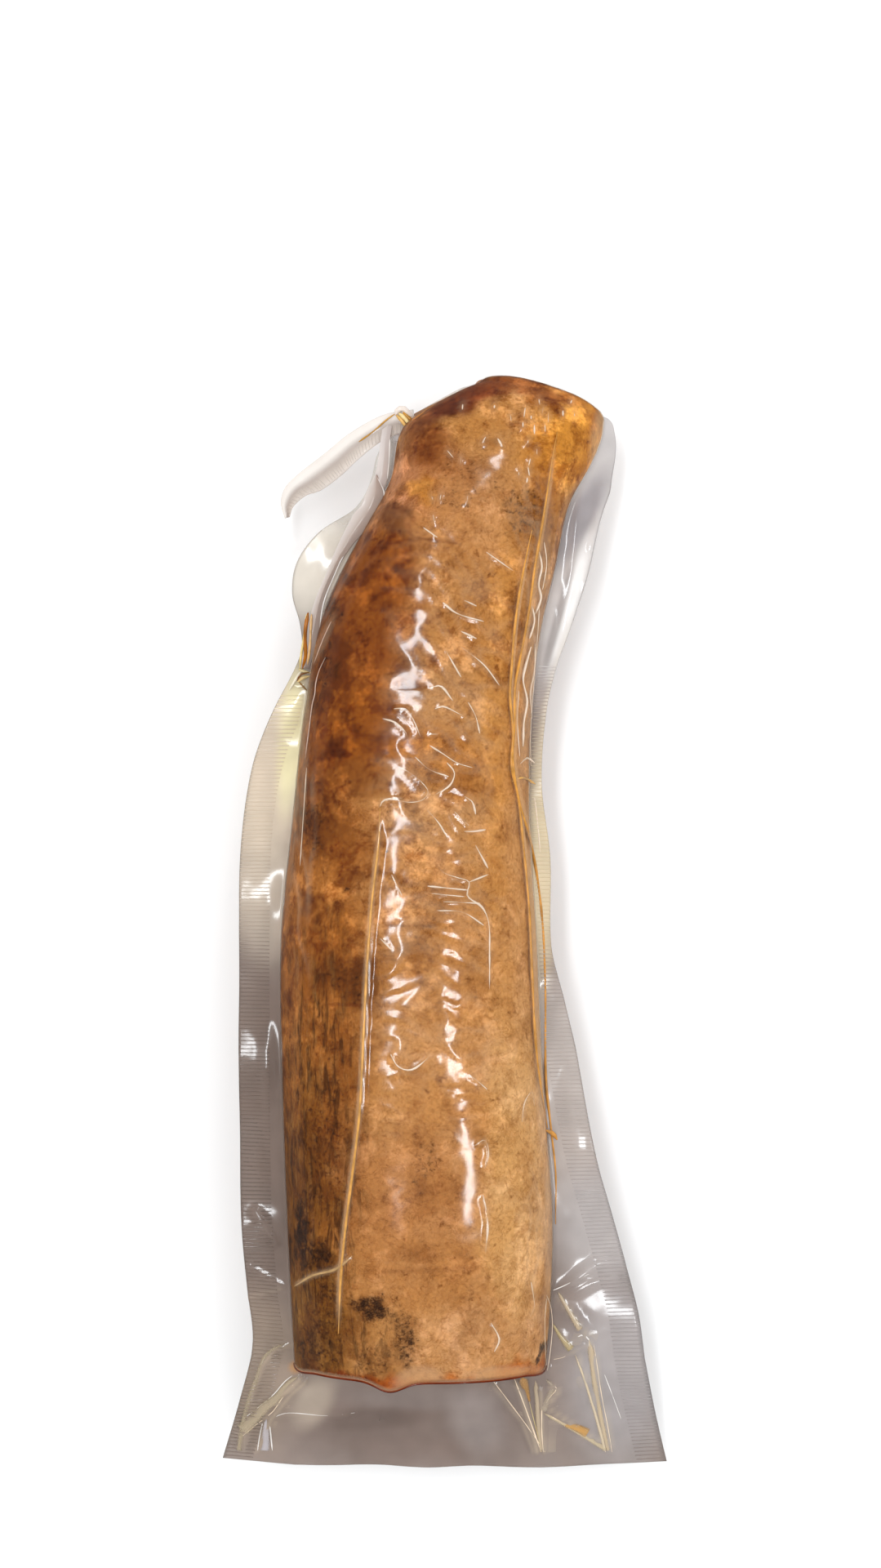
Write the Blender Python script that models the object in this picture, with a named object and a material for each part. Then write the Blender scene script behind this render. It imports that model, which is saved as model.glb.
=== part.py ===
"""Vacuum-packed piece of iberico chorizo.

A thick, slightly bent sausage in gut casing, cut across at one end, lies in a clear pouch that the
vacuum has drawn tight round it. The pouch's two films meet in a thin margin along both sides, in a
flat tail past the cut end and in a folded corner beside the rounded end. The shut pouch and what
it holds are one closed solid, as they are picked up.

The pack lies on its back, metres, +Z up. +Y points to the sausage's rounded end, the shown side
faces +Z, and the origin is under the middle of the pack, on the surface it lies on.
"""

import math
from collections import namedtuple

import bmesh
import bpy
from mathutils import Matrix, Vector, noise

MM = 0.001

# The sausage from above, in millimetres: both ends of a section line, its bottom and its top.
Section = namedtuple("Section", "left_x left_y right_x right_y bottom top")
SECTIONS = (
    Section(-36.1, -99.0, 21.3, -99.6, 0.0, 51.0),  # the cut
    Section(-36.8, -88.0, 22.2, -88.0, 0.0, 52.5),
    Section(-37.8, -66.0, 22.7, -66.0, 0.0, 53.5),
    Section(-38.9, -35.0, 20.5, -35.0, 0.0, 53.0),
    Section(-39.1, -3.0, 19.1, -3.0, 0.0, 52.0),
    Section(-36.7, 22.0, 17.6, 23.0, 0.0, 50.0),
    Section(-33.9, 48.0, 18.0, 48.0, 0.0, 48.0),
    Section(-29.8, 70.0, 20.1, 66.0, 0.0, 46.0),
    Section(-21.6, 87.8, 23.6, 81.0, 0.0, 43.5),
    Section(-14.5, 101.0, 26.7, 95.0, 0.5, 41.0),
    Section(-9.0, 113.0, 31.7, 104.5, 2.5, 37.5),
    Section(0.5, 119.8, 34.2, 110.6, 6.5, 32.5),
    Section(5.6, 123.0, 34.7, 114.0, 11.5, 27.5),  # the rounded end
)
STATIONS = tuple((s.left_y + s.right_y) / 2 for s in SECTIONS)
CUT, TIP = STATIONS[0], STATIONS[-1]

# Width of the film margin outside the sausage, as (station, width), in millimetres.
LEFT_MARGIN = (
    (-126, 17.2), (-110, 12.6), (-96, 9.4), (-84, 10.0), (-60, 10.4), (-30, 9.7), (0, 9.8),
    (22, 11.5), (36, 10.5), (48, 7.2), (60, 2.9), (66, 4.6), (72, 8.7), (78, 10.7), (84, 9.3),
    (91, 4.4), (102, 4.8), (108, 3.6), (114, 1.8), (122, 1.2),
)
RIGHT_MARGIN = (
    (-126, 29.0), (-110, 25.0), (-90, 20.5), (-78, 16.9), (-66, 13.5), (-54, 10.8), (-30, 8.1),
    (-18, 5.8), (-5, 3.2), (15, 4.3), (31, 2.8), (48, 3.4), (60, 4.9), (72, 6.9), (96, 7.9),
    (103, 7.4), (108, 5.7), (114, 4.0), (122, 1.2),
)
TAIL = 26.5  # flat film past the cut, with the end seal
TIP_FILM = 1.8  # film past the rounded end
FILM = 0.8  # the two films together, thicker than the real 0.2 mm so that the margin is a solid

# The folded corner of the pouch, in millimetres: both long edges from the knot to the free end,
# and the heights of the film there.
CORNER_OUTER = ((-9.0, 117.4), (-16.0, 116.0), (-23.4, 112.1), (-29.0, 107.8), (-34.7, 103.7),
                (-38.6, 100.2), (-39.8, 96.6), (-38.9, 93.0))
CORNER_INNER = ((-8.5, 113.0), (-15.6, 110.4), (-21.5, 106.1), (-25.3, 102.7), (-30.0, 99.4),
                (-33.9, 98.1), (-36.8, 95.8), (-37.8, 93.4))
CORNER_HEIGHTS = (20.5, 21.5, 20.5, 19.0, 17.0, 15.5, 14.0, 13.0)
CORNER_FOLD = 1.6  # how far the fold along its middle rises over its edges
KNOT_CENTRE = (-8.4, 115.0, 20.4)
KNOT_RADII = (3.4, 2.8, 2.2)

ROUNDNESS = 2.25  # exponent of the section's curve: 2 is an ellipse, more is squarer
BELLY_PRESS = 0.8  # how far the underside is pressed flat where it lies
LUMP_HEIGHT = 0.9
LUMP_LENGTH = 24.0
LIP_REACH = 2.2  # film drawn to a point over the cut's edge
LIP_PLACE, LIP_WIDTH = -0.23, 0.14  # as shares of the half width
CORNER_LIP_REACH = 1.6
LIP_DEPTH = 5.0  # how far along the sausage the lips are felt
CUT_FACE = 1.6  # how far the film over the cut face leans out at its foot
MARGIN_DROOP = 0.22  # fall of the margin for each millimetre outwards
TAIL_DROOP = 9.0
LEFT_WAVE = (2.2, 38.0, 0.4)  # height and length in millimetres, and phase
RIGHT_WAVE = (1.6, 46.0, 2.1)
TAIL_WAVE = (1.4, 27.0, 0.9)
FULL_WAVE_MARGIN = 8.0  # a margin this wide waves fully, a narrower one less

# The pack is moved by this, in millimetres, to stand over the origin.
FRAME_SHIFT = (1.77, 0.65, 0.0)

MARGIN_STEPS = 4
ROUND_STEPS = 22  # over the top of the sausage, and as many round its underside
STATION_STEP = 3.6
TAIL_STEPS = 8
CORNER_STEPS = 14
CORNER_ACROSS = 4
KNOT_SEGMENTS, KNOT_RINGS = 12, 8

CASING_COLOUR = (0.36, 0.15, 0.05)
CASING_ROUGHNESS = 0.3
FILM_COLOUR = (0.62, 0.58, 0.54)
FILM_ROUGHNESS = 0.15
CASING_SLOT, FILM_SLOT = 0, 1


def smooth(knots, values, at):
    """A smooth curve through the values at rising knots, level past both ends."""
    at = min(max(at, knots[0]), knots[-1])
    low = max(i for i in range(len(knots) - 1) if knots[i] <= at)
    high = low + 1

    def slope(i):
        before, after = max(i - 1, 0), min(i + 1, len(knots) - 1)
        return (values[after] - values[before]) / (knots[after] - knots[before])

    span = knots[high] - knots[low]
    t = (at - knots[low]) / span
    return (
        (2 * t**3 - 3 * t**2 + 1) * values[low]
        + (t**3 - 2 * t**2 + t) * span * slope(low)
        + (3 * t**2 - 2 * t**3) * values[high]
        + (t**3 - t**2) * span * slope(high)
    )


def ease(t):
    """0 to 1 with level ends."""
    t = min(max(t, 0.0), 1.0)
    return t * t * (3 - 2 * t)


def section_at(station):
    """Left and right ends of the section line, its bottom and top; past the ends it moves on."""
    inside = min(max(station, CUT), TIP)
    left_x, left_y, right_x, right_y, bottom, top = (
        smooth(STATIONS, [s[column] for s in SECTIONS], inside) for column in range(6)
    )
    left, right = Vector((left_x, left_y)), Vector((right_x, right_y))
    across = (right - left).normalized()
    onward = Vector((-across.y, across.x)) * (station - inside)
    return left + onward, right + onward, max(bottom, 0.0), top


def margin_width(side, station):
    table = LEFT_MARGIN if side < 0 else RIGHT_MARGIN
    return smooth([row[0] for row in table], [row[1] for row in table], station)


def wave(shape, along):
    height, length, phase = shape
    return height * math.sin(2 * math.pi * along / length + phase)


def swell(station):
    """Share of the full section height: 1 along the sausage, falling to 0 at both ends."""
    if station < CUT:
        return max(0.0, 1 - ((CUT - station) / CUT_FACE) ** 4)
    if station > TIP:
        return math.sqrt(max(0.0, 1 - ((station - TIP) / TIP_FILM) ** 2))
    return 1.0


def film_height(station, out, side):
    """Height of the margin's middle, out millimetres from the sausage's side."""
    _, _, bottom, top = section_at(station)
    droop = TAIL_DROOP * ease((CUT - station) / TAIL)
    width = margin_width(side, station)
    share = min(out / width, 1.0)
    edge_wave = wave(LEFT_WAVE if side < 0 else RIGHT_WAVE, station)
    edge_wave *= ease(width / FULL_WAVE_MARGIN)
    return (bottom + top) / 2 - droop - MARGIN_DROOP * out + share * edge_wave


def flat_height(station, across):
    """Height of the film's middle between the sausage's sides, across from -1 to 1."""
    left, right, _, _ = section_at(station)
    share = (across + 1) / 2
    level = film_height(station, 0, -1) * (1 - share) + film_height(station, 0, 1) * share
    ripple = wave(TAIL_WAVE, share * (right - left).length) * math.sin(math.pi * share)
    return level + ripple * ease((CUT - station) / TAIL)


def lump(point):
    """Unevenness of the meat under the casing, in millimetres."""
    return LUMP_HEIGHT * noise.noise(Vector(point) / LUMP_LENGTH)


def power(value, exponent):
    return math.copysign(abs(value) ** exponent, value)


def body_point(station, angle):
    """A point of the pack over or under the sausage; angle 180 is the left side, 90 the top."""
    left, right, bottom, top = section_at(station)
    turn = math.radians(angle)
    across = power(math.cos(turn), 2 / ROUNDNESS)
    up = power(math.sin(turn), 2 / ROUNDNESS)
    place = (left + right) / 2 + (right - left) / 2 * across
    z = (bottom + top) / 2 + (top - bottom) / 2 * up
    if up < 0:
        z = max(0.0, z + BELLY_PRESS * up)
    else:
        z += lump((place.x, place.y, z)) * up
        near_cut = 1 - ease(abs(CUT - station) / LIP_DEPTH)
        reach = LIP_REACH * math.exp(-(((across - LIP_PLACE) / LIP_WIDTH) ** 2))
        reach += CORNER_LIP_REACH * ease((abs(across) - 0.8) / 0.2)
        place.y -= reach * near_cut * math.sqrt(math.sin(turn))
    flat = flat_height(station, across) + math.copysign(FILM / 2, up)
    return Vector((place.x, place.y, flat + (z - flat) * swell(station)))


def margin_point(station, step, side, face):
    """A point of the margin: step 0 is at the sausage's side, MARGIN_STEPS at the rim."""
    left, right, _, _ = section_at(station)
    outward = (right - left).normalized() * side
    out = margin_width(side, station) * step / MARGIN_STEPS
    place = (left if side < 0 else right) + outward * out
    return Vector((place.x, place.y, film_height(station, out, side) + face * FILM / 2))


def ring(station):
    """The closed outline of one section: its upper half from left to right, then its lower."""
    upper = [margin_point(station, step, -1, 1) for step in range(MARGIN_STEPS, -1, -1)]
    upper += [body_point(station, 180 - 180 * i / ROUND_STEPS) for i in range(1, ROUND_STEPS)]
    upper += [margin_point(station, step, 1, 1) for step in range(MARGIN_STEPS + 1)]
    lower = [margin_point(station, step, 1, -1) for step in range(MARGIN_STEPS, -1, -1)]
    lower += [body_point(station, -180 * i / ROUND_STEPS) for i in range(1, ROUND_STEPS)]
    lower += [margin_point(station, step, -1, -1) for step in range(MARGIN_STEPS + 1)]
    return upper + lower


def stations():
    """Where the sections lie: even along the sausage, close at the cut and the rounded end."""
    foot = CUT - CUT_FACE
    tail = [foot - (TAIL - CUT_FACE) * i / TAIL_STEPS for i in range(TAIL_STEPS, 0, -1)]
    cut_face = [CUT - CUT_FACE * share for share in (1.0, 0.92, 0.7, 0.35)]
    count = round((TIP - CUT) / STATION_STEP)
    along = [CUT + (TIP - CUT) * i / count for i in range(count + 1)]
    past_tip = [TIP + TIP_FILM * share for share in (0.45, 0.8, 0.97, 1.0)]
    return tail + cut_face + along + past_tip


def corner_ring(share):
    """The closed outline of the folded corner, share 0 at the knot and 1 at its free end."""
    last = len(CORNER_HEIGHTS) - 1
    knots = [i / last for i in range(last + 1)]
    outer = [smooth(knots, [p[axis] for p in CORNER_OUTER], share) for axis in range(2)]
    inner = [smooth(knots, [p[axis] for p in CORNER_INNER], share) for axis in range(2)]
    height = smooth(knots, CORNER_HEIGHTS, share)
    upper, lower = [], []
    for i in range(CORNER_ACROSS + 1):
        t = i / CORNER_ACROSS
        x, y = (a + (b - a) * t for a, b in zip(inner, outer))
        z = height + CORNER_FOLD * (1 - abs(2 * t - 1))
        upper.append(Vector((x, y, z + FILM / 2)))
        lower.append(Vector((x, y, z - FILM / 2)))
    return upper + lower[::-1]


def loft(rings):
    """A closed mesh through rings of equal length, each half upper and half lower points."""
    size = len(rings[0])
    points = [point * MM for outline in rings for point in outline]
    faces = []
    for start in range(0, size * (len(rings) - 1), size):
        for i in range(size):
            j = (i + 1) % size
            faces.append((start + i, start + j, start + size + j, start + size + i))
    last = size * (len(rings) - 1)
    for i in range(size // 2 - 1):
        strip = (i, i + 1, size - 2 - i, size - 1 - i)
        faces.append(strip[::-1])
        faces.append(tuple(last + k for k in strip))
    return points, faces


def make_material(name, colour, roughness):
    material = bpy.data.materials.new(name)
    material.use_nodes = True
    shader = material.node_tree.nodes["Principled BSDF"]
    shader.inputs["Base Color"].default_value = (*colour, 1.0)
    shader.inputs["Roughness"].default_value = roughness
    shader.inputs["Metallic"].default_value = 0.0
    return material


def make_mesh(name, points, faces):
    mesh = bpy.data.meshes.new(name)
    mesh.from_pydata([tuple(p) for p in points], [], faces)
    return mesh


def make_object(name, mesh, materials, collection):
    for material in materials:
        mesh.materials.append(material)
    made = bpy.data.objects.new(name, mesh)
    collection.objects.link(made)
    return made


def knot_mesh():
    """The gathered lump of film that the corner hangs from."""
    shape = bmesh.new()
    place = Matrix.Translation(Vector(KNOT_CENTRE) * MM)
    radii = Matrix.Diagonal((*(Vector(KNOT_RADII) * MM), 1.0))
    bmesh.ops.create_uvsphere(
        shape, u_segments=KNOT_SEGMENTS, v_segments=KNOT_RINGS, radius=1.0, matrix=place @ radii
    )
    mesh = bpy.data.meshes.new("knot")
    shape.to_mesh(mesh)
    shape.free()
    return mesh


def colour_pack(mesh):
    """The casing shows over the sausage; the margins and the tail are film alone."""
    size = len(ring(CUT))
    first_body = TAIL_STEPS
    over = range(MARGIN_STEPS, MARGIN_STEPS + ROUND_STEPS)
    under = range(size // 2 + MARGIN_STEPS, size // 2 + MARGIN_STEPS + ROUND_STEPS)
    last_row = len(stations()) - 1
    for face in mesh.polygons:
        row, column = divmod(face.index, size)
        covered = first_body <= row < last_row and (column in over or column in under)
        face.material_index = CASING_SLOT if covered else FILM_SLOT


def join(target, collection):
    """The target fused with every object of the collection, which is then removed."""
    union = target.modifiers.new("fuse", "BOOLEAN")
    union.operation = "UNION"
    union.solver = "EXACT"
    union.operand_type = "COLLECTION"
    union.collection = collection
    graph = bpy.context.evaluated_depsgraph_get()
    fused = bpy.data.meshes.new_from_object(target.evaluated_get(graph))
    target.modifiers.remove(union)
    target.data = fused
    for piece in list(collection.objects):
        bpy.data.objects.remove(piece)
    bpy.data.collections.remove(collection)


def main():
    for old in list(bpy.data.objects):
        bpy.data.objects.remove(old)
    scene = bpy.context.scene.collection
    materials = (
        make_material("chorizo casing under clear film", CASING_COLOUR, CASING_ROUGHNESS),
        make_material("clear pouch film", FILM_COLOUR, FILM_ROUGHNESS),
    )
    body = make_mesh("vacuum_pack", *loft([ring(station) for station in stations()]))
    colour_pack(body)
    pack = make_object("vacuum_pack", body, materials, scene)

    corner_rings = [corner_ring(i / CORNER_STEPS) for i in range(CORNER_STEPS + 1)]
    corner = bpy.data.collections.new("corner")
    scene.children.link(corner)
    for name, mesh in (
        ("folded_corner", make_mesh("folded_corner", *loft(corner_rings))),
        ("knot", knot_mesh()),
    ):
        for face in mesh.polygons:
            face.material_index = FILM_SLOT
        make_object(name, mesh, materials, corner)
    join(pack, corner)
    pack.data.transform(Matrix.Translation(Vector(FRAME_SHIFT) * MM))


main()
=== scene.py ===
"""Looks of the vacuum-packed chorizo: the sausage in its casing, and the clear pouch round it.

Everything is modelled in millimetres as the pack lies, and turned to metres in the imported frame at
the end. Places on the shown side are given as pixels of the 1079 x 1920 frame, because the camera
looks straight down and each pixel is one place on the pack.
"""

import math
from collections import namedtuple

import bpy
import numpy as np
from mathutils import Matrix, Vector, noise
from mathutils.kdtree import KDTree


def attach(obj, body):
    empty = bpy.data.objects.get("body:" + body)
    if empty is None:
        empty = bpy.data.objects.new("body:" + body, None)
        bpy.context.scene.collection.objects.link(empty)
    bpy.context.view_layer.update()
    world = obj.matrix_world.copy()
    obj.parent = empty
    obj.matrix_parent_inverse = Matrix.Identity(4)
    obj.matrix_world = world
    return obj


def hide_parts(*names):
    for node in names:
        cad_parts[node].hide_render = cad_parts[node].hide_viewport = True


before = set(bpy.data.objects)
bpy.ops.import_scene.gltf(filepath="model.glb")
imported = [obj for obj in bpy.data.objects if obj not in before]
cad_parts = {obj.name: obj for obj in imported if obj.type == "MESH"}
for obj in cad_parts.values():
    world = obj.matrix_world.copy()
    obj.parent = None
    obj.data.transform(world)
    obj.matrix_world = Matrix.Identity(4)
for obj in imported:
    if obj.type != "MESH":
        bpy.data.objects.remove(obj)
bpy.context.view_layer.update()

MM = 0.001

# The camera over the pack, in millimetres, and the frame it fills, in pixels.
CAMERA_PLACE = (-2.8, 31.5, 700.0)
IMAGE_MIDDLE = (540.0, 960.0)
FOCAL_PIXELS = 3627.5
IMAGE_HEIGHT = 1920
SENSOR = 36.0
PIXELS_PER_MM = 5.4  # on the pack, at half its height

# The sausage from above, in millimetres: both ends of a section line, its bottom and its top.
Section = namedtuple("Section", "left_x left_y right_x right_y bottom top")
SECTIONS = (
    Section(-36.1, -99.0, 21.3, -99.6, 0.0, 51.0),  # the cut
    Section(-36.8, -88.0, 22.2, -88.0, 0.0, 52.5),
    Section(-37.8, -66.0, 22.7, -66.0, 0.0, 53.5),
    Section(-38.9, -35.0, 20.5, -35.0, 0.0, 53.0),
    Section(-39.1, -3.0, 19.1, -3.0, 0.0, 52.0),
    Section(-36.7, 22.0, 17.6, 23.0, 0.0, 50.0),
    Section(-33.9, 48.0, 18.0, 48.0, 0.0, 48.0),
    Section(-29.8, 70.0, 20.1, 66.0, 0.0, 46.0),
    Section(-21.6, 87.8, 23.6, 81.0, 0.0, 43.5),
    Section(-14.5, 101.0, 26.7, 95.0, 0.5, 41.0),
    Section(-11.2, 113.8, 31.7, 104.5, 2.5, 37.5),
    Section(-0.7, 120.3, 34.2, 110.6, 6.5, 32.5),
    Section(5.6, 123.0, 34.7, 114.0, 11.5, 27.5),  # the rounded end
)
STATIONS = tuple((s.left_y + s.right_y) / 2 for s in SECTIONS)
CUT, TIP = STATIONS[0], STATIONS[-1]
# The film's width past the sausage's sides: place along the pack and width, in millimetres.
LEFT_MARGIN = (
    (-126, 17.2), (-110, 12.6), (-96, 9.4), (-84, 10.0), (-60, 10.4), (-30, 9.7), (0, 9.8),
    (22, 11.5), (36, 10.5), (48, 7.2), (60, 2.9), (66, 4.6), (72, 8.7), (78, 10.7), (84, 9.3),
    (91, 4.4), (102, 4.2), (108, 1.4), (114, 0.6), (122, 0.6),
)
RIGHT_MARGIN = (
    (-126, 29.0), (-110, 25.0), (-90, 20.5), (-78, 16.9), (-66, 13.5), (-54, 10.8), (-30, 8.1),
    (-18, 5.8), (-5, 3.2), (15, 4.3), (31, 2.8), (48, 3.4), (60, 4.9), (72, 6.9), (96, 7.9),
    (103, 7.4), (108, 5.7), (114, 4.0), (122, 1.2),
)
TAIL = 26.5  # free film past the cut
TIP_FILM = 1.8  # film past the rounded end
# The folded corner: its two lines, its heights and how far its fold stands up, in millimetres.
CORNER_OUTER = ((-9.0, 117.4), (-16.0, 116.0), (-23.4, 112.1), (-29.0, 107.8), (-34.7, 103.7),
                (-38.6, 100.2), (-39.8, 96.6), (-38.9, 93.0))
CORNER_INNER = ((-8.5, 113.0), (-15.6, 110.4), (-21.5, 106.1), (-25.3, 102.7), (-30.0, 99.4),
                (-33.9, 98.1), (-36.8, 95.8), (-37.8, 93.4))
CORNER_HEIGHTS = (20.5, 21.5, 20.5, 19.0, 17.0, 15.5, 14.0, 13.0)
CORNER_FOLD = 0.9
ROUNDNESS = 2.25  # the section's exponent, 2 for an ellipse
BELLY_PRESS = 0.8  # how far the table flattens the belly
LUMP_HEIGHT, LUMP_LENGTH = 0.9, 24.0
# The cut's edge bulges outward: how far, and its place and width from -1 at the left to 1 at the right.
LIP_REACH = 2.2
LIP_PLACE, LIP_WIDTH = -0.23, 0.14
CORNER_LIP_REACH, CORNER_LIP_WIDTH = 1.6, 0.2
LIP_DEPTH = 5.0  # how far from the cut the bulge has faded out
CUT_FACE = 1.6  # how far past the cut both films meet
MARGIN_DROOP = 0.22  # how much the margins fall for each millimetre outward
TAIL_DROOP = 9.0  # how much lower than the sausage's middle the tail ends
# Waves in the free film: height, length and phase.
LEFT_WAVE = (2.2, 38.0, 0.4)
RIGHT_WAVE = (1.6, 46.0, 2.1)
TAIL_WAVE = (1.4, 27.0, 0.9)
FULL_WAVE_MARGIN = 8.0  # a margin as wide as this waves in full
FRAME_SHIFT = (1.77, 0.65, 0.0)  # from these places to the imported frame

FILM = 0.35  # both films where they lie together
TIP_CORNER = 2.0  # radius of the rounded end's two corners, seen from above
CASING_GAP = 0.45  # from the pouch's outside to the casing, on top
SIDE_GAP_SHARE = 0.4  # of that gap, at the sides
END_BOW, END_BOW_LENGTH = 3.0, 9.0  # how far the rounded end bows out, and over what length


def ease(t):
    """0 to 1 with level ends."""
    t = np.clip(t, 0.0, 1.0)
    return t * t * (3 - 2 * t)


def smooth(knots, values, at):
    """A smooth curve through the values at rising knots, level past both ends."""
    knots, values = np.asarray(knots, float), np.asarray(values, float)
    at = np.clip(at, knots[0], knots[-1])
    low = np.clip(np.searchsorted(knots, at, side="right") - 1, 0, len(knots) - 2)
    before, after = np.r_[0, : len(knots) - 1], np.r_[1 : len(knots), len(knots) - 1]
    slopes = (values[after] - values[before]) / (knots[after] - knots[before])
    span = knots[low + 1] - knots[low]
    t = (at - knots[low]) / span
    return (
        (2 * t**3 - 3 * t**2 + 1) * values[low]
        + (t**3 - 2 * t**2 + t) * span * slopes[low]
        + (3 * t**2 - 2 * t**3) * values[low + 1]
        + (t**3 - t**2) * span * slopes[low + 1]
    )


def power(value, exponent):
    return np.copysign(np.abs(value) ** exponent, value)


def wave(shape, along):
    height, length, phase = shape
    return height * np.sin(2 * math.pi * along / length + phase)


def noise_at(points, size, seed=0.0):
    """Smooth noise from about -1 to 1 at each point, with features of that size in millimetres."""
    flat = np.asarray(points, float).reshape(-1, 3) / size + seed
    values = [noise.noise(Vector(p)) for p in flat.tolist()]
    return np.array(values).reshape(np.shape(points)[:-1])


class Stretch:
    """The pack's sections at an array of stations, each value with one number for each station."""

    def __init__(self, stations):
        self.at = np.asarray(stations, float)
        inside = np.clip(self.at, CUT, TIP)
        columns = [smooth(STATIONS, [s[c] for s in SECTIONS], inside) for c in range(6)]
        self.left = np.stack(columns[0:2], -1)
        self.right = np.stack(columns[2:4], -1)
        self.bottom, self.top = np.maximum(columns[4], 0.0), columns[5]
        line = self.right - self.left
        self.width = np.linalg.norm(line, axis=-1)
        self.across = line / self.width[:, None]
        onward = np.stack([-self.across[:, 1], self.across[:, 0]], -1)
        self.left = self.left + onward * (self.at - inside)[:, None]
        self.right = self.right + onward * (self.at - inside)[:, None]
        turned = np.clip((self.at - (TIP + TIP_FILM - TIP_CORNER)) / TIP_CORNER, 0, 1)
        corner = (TIP_CORNER * (1 - np.sqrt(1 - turned**2)))[:, None] * self.across
        self.left, self.right = self.left + corner, self.right - corner
        self.width = np.linalg.norm(self.right - self.left, axis=-1)
        past_cut = 1 - (np.maximum(CUT - self.at, 0) / CUT_FACE) ** 4
        past_tip = np.sqrt(np.maximum(1 - (np.maximum(self.at - TIP, 0) / TIP_FILM) ** 2, 0))
        self.swell = np.where(self.at < CUT, np.maximum(past_cut, 0), past_tip)
        self.near_cut = 1 - ease(np.abs(CUT - self.at) / LIP_DEPTH)
        self.tail = ease((CUT - self.at) / TAIL)

    def margin_width(self, side):
        table = LEFT_MARGIN if side < 0 else RIGHT_MARGIN
        return smooth([row[0] for row in table], [row[1] for row in table], self.at)

    def film_height(self, out, side):
        """Middle of the margin, out millimetres from the side; out has a column for each place."""
        width = self.margin_width(side)
        edge_wave = wave(LEFT_WAVE if side < 0 else RIGHT_WAVE, self.at)
        edge_wave = edge_wave * ease(width / FULL_WAVE_MARGIN)
        share = np.minimum(out / width[:, None], 1.0)
        level = (self.bottom + self.top) / 2 - TAIL_DROOP * self.tail
        return level[:, None] - MARGIN_DROOP * out + share * edge_wave[:, None]

    def flat_height(self, across):
        share = (across[None, :] + 1) / 2
        sides = [self.film_height(np.zeros((len(self.at), 1)), side) for side in (-1, 1)]
        ripple = wave(TAIL_WAVE, share * self.width[:, None]) * np.sin(math.pi * share)
        return sides[0] * (1 - share) + sides[1] * share + ripple * self.tail[:, None]

    def body(self, angles, inset=0.0, film=FILM):
        """Points over (angle 0 to 180) and under (0 to -180) the sausage, inset from the pouch."""
        turn = np.radians(angles)
        across = power(np.cos(turn), 2 / ROUNDNESS)
        up = power(np.sin(turn), 2 / ROUNDNESS)[None, :]
        middle = (self.left + self.right) / 2
        reach = (self.width / 2 - SIDE_GAP_SHARE * inset)[:, None] * across
        place = middle[:, None, :] + self.across[:, None, :] * reach[..., None]
        low, high = self.bottom[:, None], self.top[:, None]
        z = (low + high) / 2 + ((high - low) / 2 - inset) * up
        pressed = np.maximum(z + BELLY_PRESS * up, inset)
        lumpy = z + LUMP_HEIGHT * noise_at(np.dstack([place, z]), LUMP_LENGTH) * np.maximum(up, 0)
        z = np.where(up < 0, pressed, lumpy)
        lip = LIP_REACH * np.exp(-(((across - LIP_PLACE) / LIP_WIDTH) ** 2))
        lip += CORNER_LIP_REACH * ease((np.abs(across) - 1 + CORNER_LIP_WIDTH) / CORNER_LIP_WIDTH)
        lip = lip * np.sqrt(np.maximum(np.sin(turn), 0))
        place[..., 1] -= lip[None, :] * self.near_cut[:, None]
        bow = END_BOW * ease((self.at - TIP) / END_BOW_LENGTH + 1)[:, None] * np.sqrt(1 - across**2)
        place += np.stack([-self.across[:, 1], self.across[:, 0]], -1)[:, None, :] * bow[..., None]
        flat = self.flat_height(across) + np.copysign(film / 2, up)
        return np.dstack([place, flat + (z - flat) * self.swell[:, None]])

    def margin(self, shares, side, face):
        """Points of a margin's upper (face 1) or lower (-1) film; share 0 is at the sausage."""
        out = self.margin_width(side)[:, None] * np.asarray(shares)[None, :]
        start = self.left if side < 0 else self.right
        place = start[:, None, :] + self.across[:, None, :] * (side * out)[..., None]
        return np.dstack([place, self.film_height(out, side) + face * FILM / 2])


def pixels_of(points):
    """Where the camera sees points given in millimetres."""
    depth = CAMERA_PLACE[2] - points[..., 2]
    x = IMAGE_MIDDLE[0] + FOCAL_PIXELS * (points[..., 0] - CAMERA_PLACE[0]) / depth
    y = IMAGE_MIDDLE[1] - FOCAL_PIXELS * (points[..., 1] - CAMERA_PLACE[1]) / depth
    return np.stack([x, y], -1)


def line_distance(pixels, line):
    """Distance in pixels of each place from a line of pixels, and its share of the way along."""
    line = np.asarray(line, float)
    lengths = np.linalg.norm(np.diff(line, axis=0), axis=1)
    travelled = np.r_[0, np.cumsum(lengths)] / lengths.sum()
    nearest = np.full(pixels.shape[:-1], np.inf)
    share = np.zeros(pixels.shape[:-1])
    for i, length in enumerate(lengths):
        step = line[i + 1] - line[i]
        t = np.clip(((pixels - line[i]) @ step) / length**2, 0, 1)
        distance = np.linalg.norm(pixels - line[i] - t[..., None] * step, axis=-1)
        closer = distance < nearest
        nearest = np.where(closer, distance, nearest)
        share = np.where(closer, travelled[i] + t * (travelled[i + 1] - travelled[i]), share)
    return nearest, share


def turned(places, degrees):
    """Places along and across a direction that is turned clockwise from level."""
    angle = math.radians(degrees)
    x, y = places[..., 0], places[..., 1]
    return x * math.cos(angle) + y * math.sin(angle), y * math.cos(angle) - x * math.sin(angle)


def patch_mask(pixels, x, y, half_width, half_height, turn=0.0):
    """1 inside an ellipse of pixels, fading to 0 past its edge; turn in degrees, clockwise."""
    along, down = turned(pixels - (x, y), turn)
    return 1 - ease(np.hypot(along / half_width, down / half_height) - 0.5)


def end_fade(share, reach):
    """1 along a line, fading to 0 over that share of it at both ends."""
    return ease(share / reach) * ease((1 - share) / reach)


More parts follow.
